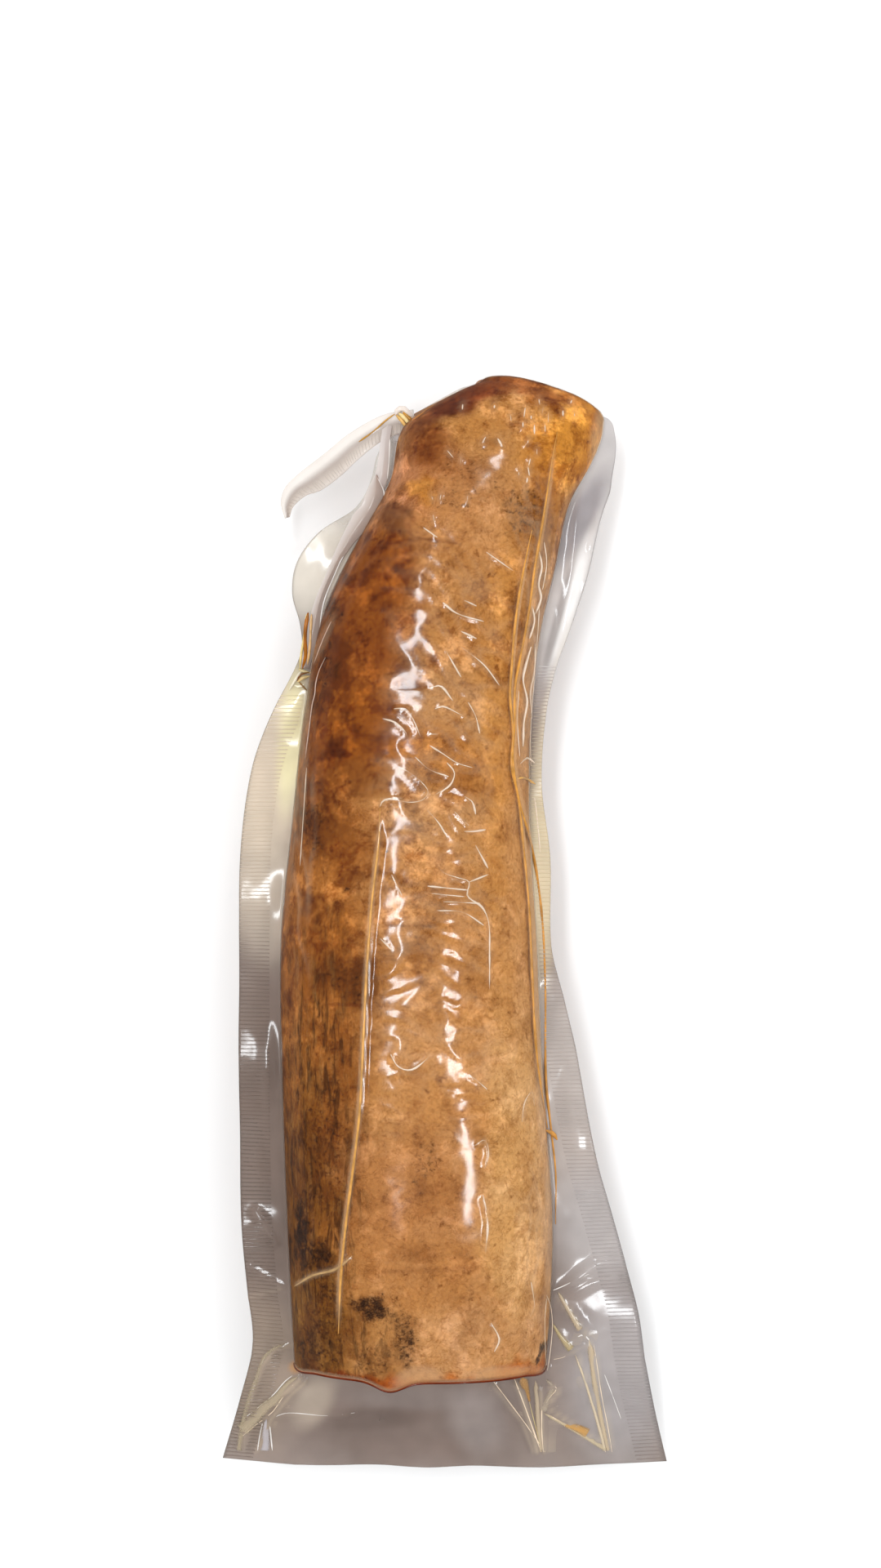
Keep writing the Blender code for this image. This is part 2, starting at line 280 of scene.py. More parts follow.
def all_of(kind, rows):
    """A table's rows as named tuples of one kind."""
    return [kind(*row) for row in rows]


# Creases of the film, as pixels: height and half width in millimetres, and how much oil has run in.
Crease = namedtuple("Crease", "line height width oil")
LEFT_RIDGE = (
    (466, 990), (464, 1033), (456, 1104), (450, 1183), (447, 1240), (443, 1327), (440, 1372),
    (433, 1430), (424, 1500), (418, 1563), (415, 1633),
)
RIGHT_RIDGE_INNER = (
    (652, 649), (643, 691), (635, 736), (630, 777), (627, 816), (625, 852), (629, 900),
    (627, 938), (635, 976), (641, 1034), (648, 1110), (652, 1198), (658, 1296), (671, 1381),
)
RIGHT_RIDGE_OUTER = (
    (683, 529), (676, 568), (668, 620), (662, 656), (655, 697), (650, 736), (644, 772),
    (637, 808), (631, 843), (630, 888), (628, 930), (636, 980), (652, 1038), (664, 1120),
    (668, 1198), (669, 1320), (676, 1388), (681, 1436), (681, 1499),
)
LOW_LEFT_CREASE = ((361, 1575), (383, 1562), (412, 1554), (432, 1538))
TOP_LEFT_CREASE = ((505, 515), (525, 501), (548, 488), (574, 475))
BODY_CREASES = all_of(Crease, (
    (LEFT_RIDGE, 0.9, 0.8, 0.5), (RIGHT_RIDGE_INNER, 0.8, 0.7, 0.5), (RIGHT_RIDGE_OUTER, 1.0, 0.8, 0.5),
    (LOW_LEFT_CREASE, 0.9, 0.9, 0.3), (TOP_LEFT_CREASE, 0.6, 0.9, 0.1),
    (((676, 1392), (668, 1425), (655, 1450), (628, 1500)), 0.45, 0.9, 0.1),
    (((368, 1180), (366, 1260), (370, 1380), (378, 1500), (380, 1600)), 0.5, 1.4, 0.0),
    (((384, 1450), (388, 1500), (384, 1545)), 0.6, 0.8, 0.0),
    (((470, 640), (440, 690), (410, 745), (388, 800), (378, 880)), 0.6, 1.0, 0.0),
    (((630, 958), (642, 952), (655, 960)), 0.6, 0.8, 0.0),
))
# Fine creases over the sausage, as pixels, all of one height and half width.
FINE_HEIGHT, FINE_WIDTH = 0.36, 0.58
FINE_CREASES = (
    ((483, 868), (497, 868), (507, 882), (515, 901)), ((469, 880), (483, 884), (497, 896), (499, 903)),
    ((526, 843), (540, 840), (555, 858)), ((533, 868), (543, 865), (555, 870), (570, 878)),
    ((524, 899), (538, 899)), ((527, 913), (543, 923), (560, 934), (579, 940)),
    ((574, 860), (583, 877), (588, 898)),
    ((485, 937), (502, 946), (517, 958), (525, 970), (517, 980), (497, 982), (481, 976)),
    ((509, 927), (526, 942), (550, 951)), ((548, 934), (557, 946), (552, 961), (534, 973)),
    ((466, 988), (470, 980), (493, 977)), ((524, 992), (538, 1008), (548, 1025)),
    ((557, 994), (575, 1011)), ((569, 975), (579, 982), (583, 997)),
    ((569, 1018), (581, 1018), (595, 1016)), ((583, 1035), (598, 1063)),
    ((536, 1056), (543, 1068), (562, 1075), (575, 1080), (573, 1097), (591, 1111), (599, 1130),
     (600, 1164), (600, 1212)),
    ((575, 1080), (598, 1071)), ((524, 1085), (574, 1090)), ((529, 1094), (569, 1098)),
    ((543, 1104), (588, 1106)), ((536, 1115), (567, 1117), (593, 1133)), ((480, 1071), (493, 1097)),
    ((466, 1149), (481, 1164)), ((543, 738), (560, 751), (593, 761)), ((569, 735), (584, 742)),
    ((596, 676), (629, 699)), ((565, 773), (584, 782)), ((565, 792), (593, 814), (612, 839)),
    ((545, 794), (565, 829)), ((519, 646), (536, 658)),
    ((479, 1291), (488, 1306), (504, 1310), (524, 1296), (527, 1290)),
    ((575, 1316), (587, 1325), (597, 1334)), ((582, 1403), (594, 1396), (599, 1413), (594, 1431)),
    ((592, 1463), (598, 1495), (595, 1535)), ((640, 1374), (643, 1350), (652, 1337), (655, 1354)),
    ((602, 1620), (612, 1640), (606, 1655)), ((651, 1570), (655, 1600), (650, 1612)),
)
# Places where the film puckers in short wrinkles: centre, half width and half height in pixels,
# the wrinkles' turn in degrees clockwise from level, and their length, spacing and height in mm.
Pucker = namedtuple("Pucker", "x y half_width half_height turn length spacing height")
PUCKERS = all_of(Pucker, (
    (575, 800, 55, 130, 42, 9.0, 3.6, 0.26), (500, 950, 36, 320, 0, 14.0, 6.5, 0.2),
    (540, 950, 75, 90, 30, 9.0, 3.6, 0.24), (555, 1110, 65, 80, 8, 8.0, 2.8, 0.22),
    (500, 1240, 40, 110, 4, 8.0, 4.2, 0.24), (570, 1270, 40, 110, 12, 6.0, 3.0, 0.26),
    (655, 830, 20, 190, 84, 12.0, 2.0, 0.55), (665, 1520, 22, 110, 86, 10.0, 2.2, 0.4),
    (650, 640, 30, 60, 60, 5.0, 2.2, 0.35), (372, 1000, 14, 180, 86, 12.0, 2.4, 0.4),
))
PUCKER_BEND_LENGTH, PUCKER_BEND = 1.3, 0.9  # of a wrinkle's length, and of its spacing, that it wanders
PUCKER_BASE, PUCKER_SHARPNESS = 0.35, 1.5  # the noise at a ridge's foot, and the power that narrows it
# Creases of the film where it lies flat: in the tail, and in the margins.
FLAT_CREASES = all_of(Crease, (
    (((310, 1478), (326, 1501), (342, 1527)), 0.7, 0.9, 0.0),
    (((300, 1548), (329, 1565), (353, 1578)), 0.8, 0.9, 0.0), (((300, 1590), (348, 1577)), 0.5, 0.8, 0.3),
    (((366, 1645), (338, 1651), (322, 1671), (305, 1720), (297, 1783)), 0.9, 0.9, 0.5),
    (((374, 1684), (348, 1706), (319, 1728), (290, 1760)), 1.1, 0.9, 0.9),
    (((380, 1687), (358, 1706), (332, 1738), (313, 1783)), 1.0, 0.8, 0.7),
    (((319, 1735), (364, 1730), (435, 1732)), 0.5, 0.8, 0.1),
    (((681, 1581), (704, 1568), (733, 1546), (770, 1540)), 1.0, 1.3, 0.0),
    (((690, 1590), (726, 1570), (760, 1562)), 0.6, 1.0, 0.0),
    (((681, 1581), (701, 1610), (717, 1632), (729, 1664), (745, 1756), (752, 1783)), 1.0, 0.9, 0.9),
    (((681, 1623), (697, 1648), (707, 1658), (720, 1690), (739, 1756), (744, 1783)), 0.9, 0.8, 0.7),
    (((676, 1664), (704, 1655), (726, 1642)), 0.7, 0.8, 0.3),
    (((601, 1690), (620, 1716), (640, 1741), (656, 1783)), 0.9, 0.8, 0.6),
    (((630, 1687), (640, 1709), (653, 1756), (660, 1783)), 1.1, 1.1, 1.0),
    (((662, 1696), (665, 1756), (668, 1783)), 0.9, 0.9, 0.8),
    (((669, 1693), (685, 1703), (669, 1722), (701, 1744), (740, 1770)), 1.0, 0.9, 0.9),
    (((712, 560), (708, 640), (700, 720), (690, 800), (676, 880)), 0.6, 1.6, 0.0),
    (((738, 590), (732, 640), (722, 680)), 0.5, 1.2, 0.0),
    (((690, 1260), (700, 1330), (708, 1420)), 0.3, 1.8, 0.0),
    (((330, 1240), (326, 1330), (330, 1420)), 0.3, 1.8, 0.0),
))


# Unevenness of the surfaces: heights and sizes in millimetres, and seeds.
TIGHT_FILM_ROUGH = ((0.09, 6.0, 1.7), (0.035, 2.4, 2.9))
FREE_FILM_ROUGH = ((0.35, 11.0, 4.2), (0.09, 3.4, 6.1))
FOLDED_FILM_ROUGH = ((0.25, 4.0, 9.3),)
CASING_ROUGH = ((0.16, 8.0, 3.1), (0.08, 2.6, 8.7), (0.05, 1.2, 5.5))
CUT_ROUGH = ((0.2, 3.5, 7.7),)
CASING_SUNK = 0.07
CREASE_FADE = 0.08  # of a crease's length, at each end
OIL_NARROWER = 1.7  # how much narrower the oil in a crease is than the crease


def roughened(points, layers):
    """The sum of layers of noise, each of a height, a size and a seed."""
    return sum(height * noise_at(points, size, seed) for height, size, seed in layers)


def crease_relief(pixels, creases):
    """Height in millimetres and oil of creases, each fading out at its two ends."""
    height, oil = np.zeros(pixels.shape[:-1]), np.zeros(pixels.shape[:-1])
    for crease in creases:
        distance, share = line_distance(pixels, crease.line)
        distance = distance / PIXELS_PER_MM / crease.width
        ends = end_fade(share, CREASE_FADE)
        height = np.maximum(height, crease.height * ends * np.exp(-(distance**2)))
        oil = np.maximum(oil, crease.oil * ends * np.exp(-((distance * OIL_NARROWER) ** 2)))
    return height, oil


def pucker_relief(pixels):
    """Height in millimetres of the film's short wrinkles over the sausage."""
    total = np.zeros(pixels.shape[:-1])
    plane = np.concatenate([pixels / PIXELS_PER_MM, np.zeros((*pixels.shape[:-1], 1))], -1)
    for number, pucker in enumerate(PUCKERS):
        mask = patch_mask(pixels, pucker.x, pucker.y, pucker.half_width, pucker.half_height)
        inside = mask > 0.01
        spot = plane[inside]
        bend = noise_at(spot, pucker.length * PUCKER_BEND_LENGTH, number + 0.5) * pucker.spacing * PUCKER_BEND
        along, down = turned(spot, pucker.turn)
        place = np.stack([along / pucker.length, (down + bend) / pucker.spacing, np.zeros(len(along))], -1)
        ridged = 1 - np.abs(noise_at(place, 1.0, number * 3.7)) / PUCKER_BASE
        total[inside] += pucker.height * mask[inside] * np.maximum(ridged, 0) ** PUCKER_SHARPNESS
    return total


# Small upright dimples of the film: centre in pixels and lean in degrees; sizes in millimetres.
DIMPLES = (
    (606, 498, 6), (567, 498, 4), (626, 511, -6), (643, 505, 8), (651, 511, 0), (661, 492, -8),
    (665, 503, 10), (672, 511, 0), (700, 492, 20), (641, 520, 0), (593, 539, 30), (613, 542, -30),
    (647, 541, 12), (658, 553, 0), (649, 566, 14), (648, 577, -10), (636, 580, 0), (646, 588, 8),
    (565, 563, 0), (552, 556, -40), (530, 610, -20), (540, 609, 10), (573, 612, 0), (532, 636, -10),
    (704, 508, 0), (690, 506, 0), (668, 524, 0), (655, 526, 0),
)
DIMPLE_WIDTH, DIMPLE_LENGTH, DIMPLE_HEIGHT = 0.75, 1.5, 0.36


def dimple_relief(pixels):
    """Height in millimetres of the small dimples at the rounded end."""
    height = np.zeros(pixels.shape[:-1])
    for x, y, lean in DIMPLES:
        away = (pixels - (x, y)) / PIXELS_PER_MM
        near = np.abs(away).max(axis=-1) < 3 * DIMPLE_LENGTH
        across, along = turned(away[near], lean)
        bump = np.exp(-((across / DIMPLE_WIDTH) ** 2) - (along / DIMPLE_LENGTH) ** 2)
        height[near] = np.maximum(height[near], DIMPLE_HEIGHT * bump)
    return height


def body_relief(points, pixels):
    """How far the tight film stands off the sausage in creases and wrinkles."""
    main, oil = crease_relief(pixels, BODY_CREASES)
    fine = crease_relief(pixels, [Crease(line, FINE_HEIGHT, FINE_WIDTH, 0.0) for line in FINE_CREASES])[0]
    wrinkled = np.maximum(np.maximum(fine, pucker_relief(pixels)), dimple_relief(pixels))
    return np.maximum(main, wrinkled) + roughened(points, TIGHT_FILM_ROUGH), oil, wrinkled


def flat_relief(points, pixels):
    """How far the free film rises in its creases and crumples."""
    height, oil = crease_relief(pixels, FLAT_CREASES)
    return height + roughened(points * (1, 1, 0), FREE_FILM_ROUGH), oil


def grid_faces(rows, columns):
    """Quads of a tube of points, row after row, each row's last column joined to its first."""
    column = np.arange(columns)
    following = (column + 1) % columns
    start = np.arange(rows - 1)[:, None] * columns
    above = start + columns
    corners = [start + column, start + following, above + following, above + column]
    return np.stack(corners, -1).reshape(-1, 4).tolist()


def closed_tube(rows):
    """Vertices and faces of rings of points, with both ends closed to their middles."""
    count, columns = rows.shape[:2]
    vertices = np.concatenate([rows.reshape(-1, 3), [rows[0].mean(axis=0)], [rows[-1].mean(axis=0)]])
    faces = grid_faces(count, columns)
    first, last, base = count * columns, count * columns + 1, (count - 1) * columns
    for i in range(columns):
        j = (i + 1) % columns
        faces.append((first, j, i))
        faces.append((last, base + i, base + j))
    return vertices, faces


def end_strip(upper, lower, flipped):
    """Faces between two rows of vertices of different lengths, matched by their share along."""
    faces = []
    i = j = 0
    upper_last, lower_last = len(upper) - 1, len(lower) - 1
    while i < upper_last or j < lower_last:
        on_upper = j == lower_last or (i < upper_last and (i + 1) * lower_last <= (j + 1) * upper_last)
        face = (upper[i], upper[i + 1] if on_upper else lower[j + 1], lower[j])
        i, j = (i + 1, j) if on_upper else (i, j + 1)
        face = tuple(int(v) for v in face)
        faces.append(face[::-1] if flipped else face)
    return faces


def sheet_faces(rows, top_columns, columns):
    """Faces of a flat tube whose first columns are its upper side, with both ends closed."""
    faces = grid_faces(rows, columns)
    top, under = np.arange(top_columns), np.arange(top_columns, columns)[::-1]
    last = (rows - 1) * columns
    faces += end_strip(top, under, flipped=True)
    return faces + end_strip(top + last, under + last, flipped=False)


def make_piece(name, points, faces, material, edges=()):
    """A smooth mesh object from points in millimetres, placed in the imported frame."""
    mesh = bpy.data.meshes.new(name)
    placed = (np.asarray(points, float).reshape(-1, 3) + FRAME_SHIFT) * MM
    mesh.from_pydata(placed.tolist(), edges, faces)
    mesh.shade_smooth()
    mesh.materials.append(material)
    made = bpy.data.objects.new(name, mesh)
    bpy.context.scene.collection.objects.link(made)
    return made


def paint_value(piece, name, values):
    """A number at each vertex that the material reads by its name."""
    attribute = piece.data.attributes.new(name, "FLOAT", "POINT")
    attribute.data.foreach_set("value", np.asarray(values, np.float32).ravel())


def paint_colour(piece, name, colours):
    """A linear colour at each vertex that the material reads by its name."""
    attribute = piece.data.attributes.new(name, "FLOAT_COLOR", "POINT")
    values = np.ones((len(piece.data.vertices), 4), np.float32)
    values[:, :3] = np.asarray(colours).reshape(-1, 3)
    attribute.data.foreach_set("color", values.ravel())


def linear(hex_colour):
    """An sRGB hex colour as linear red, green and blue."""
    parts = [int(hex_colour[i : i + 2], 16) / 255 for i in (1, 3, 5)]
    return tuple(c / 12.92 if c <= 0.04045 else ((c + 0.055) / 1.055) ** 2.4 for c in parts)


def rgba(hex_colour):
    return (*linear(hex_colour), 1.0)


WHITE = rgba("#ffffff")


def add(tree, kind, inputs=None, **settings):
    """Adds a node with its settings; an input takes a value, or a socket to link from."""
    made = tree.nodes.new(kind)
    for name, value in settings.items():
        setattr(made, name, value)
    for name, value in (inputs or {}).items():
        if isinstance(value, bpy.types.NodeSocket):
            tree.links.new(value, made.inputs[name])
        else:
            made.inputs[name].default_value = value
    return made


def new_material(name):
    """An empty node material and its tree."""
    material = bpy.data.materials.new(name)
    material.use_nodes = True
    material.node_tree.nodes.clear()
    return material, material.node_tree


def noise_scale(size):
    """Noise Texture scale for features of that size in millimetres, on metres."""
    return 1 / (size * MM)


# The casing's patterns: size in millimetres, and the noise's detail, roughness and distortion. Its grain,
# really 0.3 mm, is drawn at 0.8 mm so that it shows.
CASING_PATTERNS = {
    "ochre": (14.0, 3.0, 0.6, 0.0),
    "meat": (9.0, 5.0, 0.65, 0.0),
    "small meat": (5.0, 5.0, 0.7, 0.0),
    "fat": (6.5, 5.0, 0.65, 0.0),
    "veins": (3.4, 4.0, 0.65, 0.8),
    "spots": (2.4, 5.0, 0.7, 0.0),
    "grain": (0.8, 2.0, 0.6, 0.0),
    "strands": (1.5, 4.0, 0.65, 0.6),
    "pale strands": (2.0, 5.0, 0.7, 0.6),
    "mould": (1.2, 6.0, 0.9, 0.0),
    "bump": (1.2, 4.0, 0.6, 0.0),
}
# Its layers of colour in order: the pattern, the values where it begins and is full, its strength, the
# painted attribute that it goes by, and the colour: hex is laid over, and numbers multiply. A layer
# without a pattern goes by its attribute alone.
CASING_LAYERS = (
    ("ochre", 0.44, 0.58, 1.0, "", (0.98, 0.94, 0.84)),
    ("meat", 0.49, 0.64, 0.9, "mottle", (0.46, 0.32, 0.15)),
    ("small meat", 0.50, 0.64, 0.9, "mottle", (0.55, 0.39, 0.20)),
    ("fat", 0.50, 0.36, 0.9, "mottle", (1.72, 1.90, 2.45)),
    ("veins", 0.03, 0.0, 0.55, "", (0.56, 0.44, 0.32)),
    ("spots", 0.56, 0.72, 0.85, "", (0.48, 0.35, 0.22)),
    ("grain", 0.7, 0.3, 1.0, "", (0.8148, 0.8148, 0.8148)),
    ("strands", 0.46, 0.64, 0.85, "fibre", "#2a1503"),
    ("pale strands", 0.50, 0.72, 0.42, "fibre", "#9a7240"),
    ("", 0.0, 0.0, 0.50, "mould", "#673409"),
    ("mould", 0.60, 0.84, 0.95, "", "#1f0c03"),
)
FIBRE_STRETCH = (1.0, 0.2, 1.0)  # the strands run along the pack
MOULD_GATHERS = 0.30  # how much more the mould's specks close up where it is painted thick


def casing_material():
    """Natural gut casing, dried and oiled: tan to brown, mottled by the meat that it clings to."""
    material, tree = new_material("natural gut casing, oiled")
    place = add(tree, "ShaderNodeTexCoord").outputs["Object"]
    drawn_out = add(tree, "ShaderNodeMapping", {"Vector": place, "Scale": FIBRE_STRETCH}).outputs["Vector"]
    painted = {name: add(tree, "ShaderNodeAttribute", attribute_name=name).outputs
               for name in ("casing_tint_and_shade", "mottle", "fibre", "mould")}
    patterns = {}
    for name, (size, detail, roughness, distortion) in CASING_PATTERNS.items():
        noise_inputs = {"Vector": drawn_out if "strands" in name else place, "Scale": noise_scale(size),
                        "Detail": detail, "Roughness": roughness, "Distortion": distortion}
        patterns[name] = add(tree, "ShaderNodeTexNoise", noise_inputs).outputs["Fac"]
    vein = add(tree, "ShaderNodeMath", {0: patterns["veins"], 1: 0.5}, operation="SUBTRACT").outputs[0]
    patterns["veins"] = add(tree, "ShaderNodeMath", {0: vein}, operation="ABSOLUTE").outputs[0]
    gathered = {0: painted["mould"]["Fac"], 1: MOULD_GATHERS, 2: patterns["mould"]}
    patterns["mould"] = add(tree, "ShaderNodeMath", gathered, operation="MULTIPLY_ADD").outputs[0]

    # The casing's painted colour, which holds painted shade on its left face.
    colour = painted["casing_tint_and_shade"]["Color"]
    for name, begin, full, cover, attribute, tint in CASING_LAYERS:
        if name:
            limits = {"Value": patterns[name], "From Min": begin, "From Max": full, "To Max": cover}
            cover = add(tree, "ShaderNodeMapRange", limits, interpolation_type="SMOOTHSTEP").outputs["Result"]
        if attribute:
            held = {0: cover, 1: painted[attribute]["Fac"]}
            cover = add(tree, "ShaderNodeMath", held, operation="MULTIPLY").outputs[0]
        over, way = (rgba(tint), "MIX") if isinstance(tint, str) else ((*tint, 1.0), "MULTIPLY")
        colour = add(tree, "ShaderNodeMix", {0: cover, 6: colour, 7: over},
                     data_type="RGBA", blend_type=way).outputs[2]

    bump = add(tree, "ShaderNodeBump", {"Height": patterns["bump"], "Strength": 0.35, "Distance": 0.4 * MM})
    shader = add(tree, "ShaderNodeBsdfPrincipled", {
        "Base Color": colour, "Roughness": 0.5, "IOR": 1.42, "Specular IOR Level": 0.08,
        "Normal": bump.outputs["Normal"]})
    add(tree, "ShaderNodeOutputMaterial", {"Surface": shader.outputs[0]})
    return material


def cut_meat_material():
    """Cured chopped meat at the cut: red-orange with paprika, with flecks of white fat."""
    material, tree = new_material("cured chopped meat")
    place = add(tree, "ShaderNodeTexCoord").outputs["Object"]
    warped = add(tree, "ShaderNodeTexNoise", {"Vector": place, "Scale": noise_scale(5.0)}).outputs["Color"]
    moved = add(tree, "ShaderNodeVectorMath", {0: warped, 1: (4.0 * MM,) * 3, 2: place},
                operation="MULTIPLY_ADD").outputs[0]
    fat = add(tree, "ShaderNodeTexVoronoi", {"Vector": moved, "Scale": noise_scale(6.0)}).outputs["Distance"]
    fleck = add(tree, "ShaderNodeMapRange", {"Value": fat, "From Min": 0.34, "From Max": 0.24})
    grain = add(tree, "ShaderNodeTexNoise", {"Vector": place, "Scale": noise_scale(3.0), "Detail": 4.0})
    red = add(tree, "ShaderNodeMix", {0: grain.outputs["Fac"], 6: rgba("#6d1f0c"), 7: rgba("#b04a1c")},
              data_type="RGBA")
    meat = add(tree, "ShaderNodeMix", {0: fleck.outputs["Result"], 6: red.outputs[2], 7: rgba("#d8ac80")},
               data_type="RGBA")
    shader = add(tree, "ShaderNodeBsdfPrincipled", {"Base Color": meat.outputs[2], "Roughness": 0.4})
    add(tree, "ShaderNodeOutputMaterial", {"Surface": shader.outputs[0]})
    return material


FILM_GLOSS, FILM_EDGE_GLOSS, FILM_ROUGHNESS = 0.04, 0.20, 0.13


def film_material():
    """Clear film, blown and laminated: sharp gloss, milky or oily only where it is painted so."""
    material, tree = new_material("clear pouch film")
    tint = add(tree, "ShaderNodeAttribute", attribute_name="film_tint").outputs["Color"]
    haze = add(tree, "ShaderNodeAttribute", attribute_name="haze").outputs["Fac"]
    place = add(tree, "ShaderNodeTexCoord").outputs["Object"]
    cloud = add(tree, "ShaderNodeTexNoise", {"Vector": place, "Scale": noise_scale(9.0), "Detail": 3.0})
    clouded = add(tree, "ShaderNodeMapRange", {
        "Value": cloud.outputs["Fac"], "From Min": 0.3, "From Max": 0.7, "To Min": 0.88, "To Max": 1.05})
    cloudy = add(tree, "ShaderNodeMath", {0: haze, 1: clouded.outputs["Result"]}, operation="MULTIPLY",
                 use_clamp=True)
    clear = add(tree, "ShaderNodeBsdfTransparent", {"Color": rgba("#fdfcf9")})
    milky = add(tree, "ShaderNodeBsdfDiffuse", {"Color": tint})
    sheet = add(tree, "ShaderNodeMixShader", {0: cloudy.outputs[0], 1: clear.outputs[0], 2: milky.outputs[0]})
    facing = add(tree, "ShaderNodeLayerWeight", {"Blend": 0.5}).outputs["Facing"]
    grazing = add(tree, "ShaderNodeMath", {0: facing, 1: 5.0}, operation="POWER")
    share = add(tree, "ShaderNodeMath", {0: grazing.outputs[0], 1: FILM_EDGE_GLOSS, 2: FILM_GLOSS},
                operation="MULTIPLY_ADD")
    glossy = add(tree, "ShaderNodeBsdfAnisotropic", {"Color": WHITE, "Roughness": FILM_ROUGHNESS})
    surface = add(tree, "ShaderNodeMixShader", {
        0: share.outputs[0], 1: sheet.outputs[0], 2: glossy.outputs[0]})
    add(tree, "ShaderNodeOutputMaterial", {"Surface": surface.outputs[0]})
    return material


def oil_material():
    """Paprika oil set in the folds of the film: amber, or pale yellow where it is thin."""
    material, tree = new_material("set paprika oil")
    tint = add(tree, "ShaderNodeAttribute", attribute_name="film_tint").outputs["Color"]
    place = add(tree, "ShaderNodeTexCoord").outputs["Object"]
    thick = add(tree, "ShaderNodeTexNoise", {"Vector": place, "Scale": noise_scale(3.0), "Detail": 3.0})
    depth = add(tree, "ShaderNodeMapRange", {
        "Value": thick.outputs["Fac"], "From Min": 0.35, "From Max": 0.65, "To Min": 0.72, "To Max": 1.15})
    colour = add(tree, "ShaderNodeMix", {0: 1.0, 6: tint, 7: depth.outputs["Result"]}, data_type="RGBA",
                 blend_type="MULTIPLY")
    shader = add(tree, "ShaderNodeBsdfPrincipled", {
        "Base Color": colour.outputs[2], "Roughness": 0.16, "IOR": 1.47})
    add(tree, "ShaderNodeOutputMaterial", {"Surface": shader.outputs[0]})
    return material


# An ellipse of pixels on the shown side, its turn in degrees, its strength and, for a tint, its colour.
Patch = namedtuple("Patch", "x y half_width half_height turn strength colour", defaults=("",))
# Oil under the film deepens every colour of the casing.
OILED = (0.972, 0.9072, 0.648)
CASING_BASE = "#b8875e"
# Tones laid over the casing's base: its own tan and brown, and in the dark patches down the left face and
# along the upper left edge partly painted shade of that side.
CASING_TONE_AND_SHADE_PATCHES = all_of(Patch, (
    (385, 1280, 66, 520, 2, 0.92, "#90551f"), (425, 805, 70, 190, 14, 0.97, "#824615"),
    (468, 705, 52, 70, 20, 0.9, "#864a18"), (590, 745, 60, 90, 0, 0.8, "#ae7a4e"),
    (455, 900, 60, 60, 20, 0.8, "#8a4c12"), (545, 930, 60, 40, 25, 0.6, "#a9681f"),
    (620, 900, 26, 260, 0, 0.8, "#c48b52"), (520, 590, 52, 52, 30, 0.9, "#b4795a"),
    (580, 620, 60, 60, 0, 0.8, "#c08c66"), (700, 535, 50, 60, 10, 0.95, "#cd8f42"),
    (664, 615, 22, 70, 8, 0.8, "#a4661f"), (522, 540, 34, 26, 35, 0.85, "#7a4010"),
    (556, 572, 24, 20, 20, 0.7, "#a8714c"), (512, 600, 22, 12, 10, 0.7, "#c08338"),
    (590, 515, 40, 22, -20, 0.7, "#b6804e"), (742, 512, 14, 26, 10, 0.7, "#a35f18"),
    (715, 575, 14, 16, 0, 0.6, "#a8661f"), (480, 640, 22, 24, 0, 0.8, "#6d3c14"),
    (560, 486, 66, 20, -24, 0.95, "#6d2c08"), (645, 476, 70, 12, 12, 0.8, "#8a4510"),
    (440, 955, 34, 22, 10, 0.6, "#7c481c"), (395, 1010, 30, 34, 0, 0.7, "#6c3c14"),
    (400, 1085, 30, 34, 0, 0.5, "#b07440"), (420, 1195, 42, 30, 15, 0.8, "#6a3a12"),
    (395, 1290, 30, 50, 0, 0.5, "#ad7442"), (520, 1130, 60, 90, 0, 0.7, "#b9845a"),
    (510, 1215, 60, 40, 10, 0.6, "#ab7440"), (560, 1290, 80, 110, 0, 0.8, "#bd8a62"),
    (500, 1480, 80, 100, 0, 0.8, "#af7a56"), (540, 1560, 100, 50, 0, 0.7, "#b07c54"),
    (635, 1430, 40, 200, 0, 0.8, "#cfa47e"), (635, 1100, 26, 160, 0, 0.7, "#c4926a"),
    (366, 1500, 34, 190, 2, 0.92, "#764a18"), (393, 1620, 38, 90, 0, 0.85, "#845a26"),
    (580, 1640, 100, 40, 0, 0.8, "#c09274"), (480, 1696, 50, 10, 10, 0.9, "#a8520f"),
    (420, 1690, 60, 7, 8, 0.9, "#7a2c0a"), (590, 1690, 90, 8, -4, 0.8, "#a85a1c"),
    (645, 1680, 36, 14, -5, 0.9, "#b4641c"),
))
MOULD_PATCHES = all_of(Patch, (
    (456, 1604, 25, 20, 20, 1.0), (478, 1612, 34, 10, 30, 0.55), (494, 1640, 21, 40, -10, 0.68),
    (504, 1640, 6, 15, -8, 1.0), (470, 1660, 44, 30, -30, 0.55), (522, 1425, 18, 42, 5, 0.42),
    (372, 1514, 12, 52, 3, 1.0), (394, 1540, 14, 24, 10, 0.85), (398, 1590, 26, 60, 0, 0.62),
    (398, 1645, 36, 44, 20, 0.66), (400, 1400, 40, 110, 4, 0.55), (658, 1655, 5, 16, 10, 0.95),
    (425, 1200, 36, 26, 20, 0.55), (392, 830, 18, 60, 8, 0.6), (385, 1010, 18, 40, 0, 0.65),
    (642, 625, 22, 44, 0, 0.55), (432, 1092, 6, 4, -20, 1.0), (470, 1045, 3, 3, 0, 1.0),
    (600, 603, 3, 3, 0, 1.0), (575, 590, 60, 40, 0, 0.36), (404, 752, 20, 20, 0, 0.7),
))
FIBRE_PATCHES = all_of(Patch, (
    (388, 1420, 52, 280, 2, 1.0), (395, 900, 30, 180, 8, 0.2), (420, 1650, 60, 50, 0, 0.8),
))
# Where the casing is evenly coloured, with less of the meat's mottling.
CALM_PATCHES = all_of(Patch, (
    (560, 1500, 190, 330, 0, 0.56), (620, 1150, 90, 300, 0, 0.55), (590, 620, 80, 90, 0, 0.5),
))
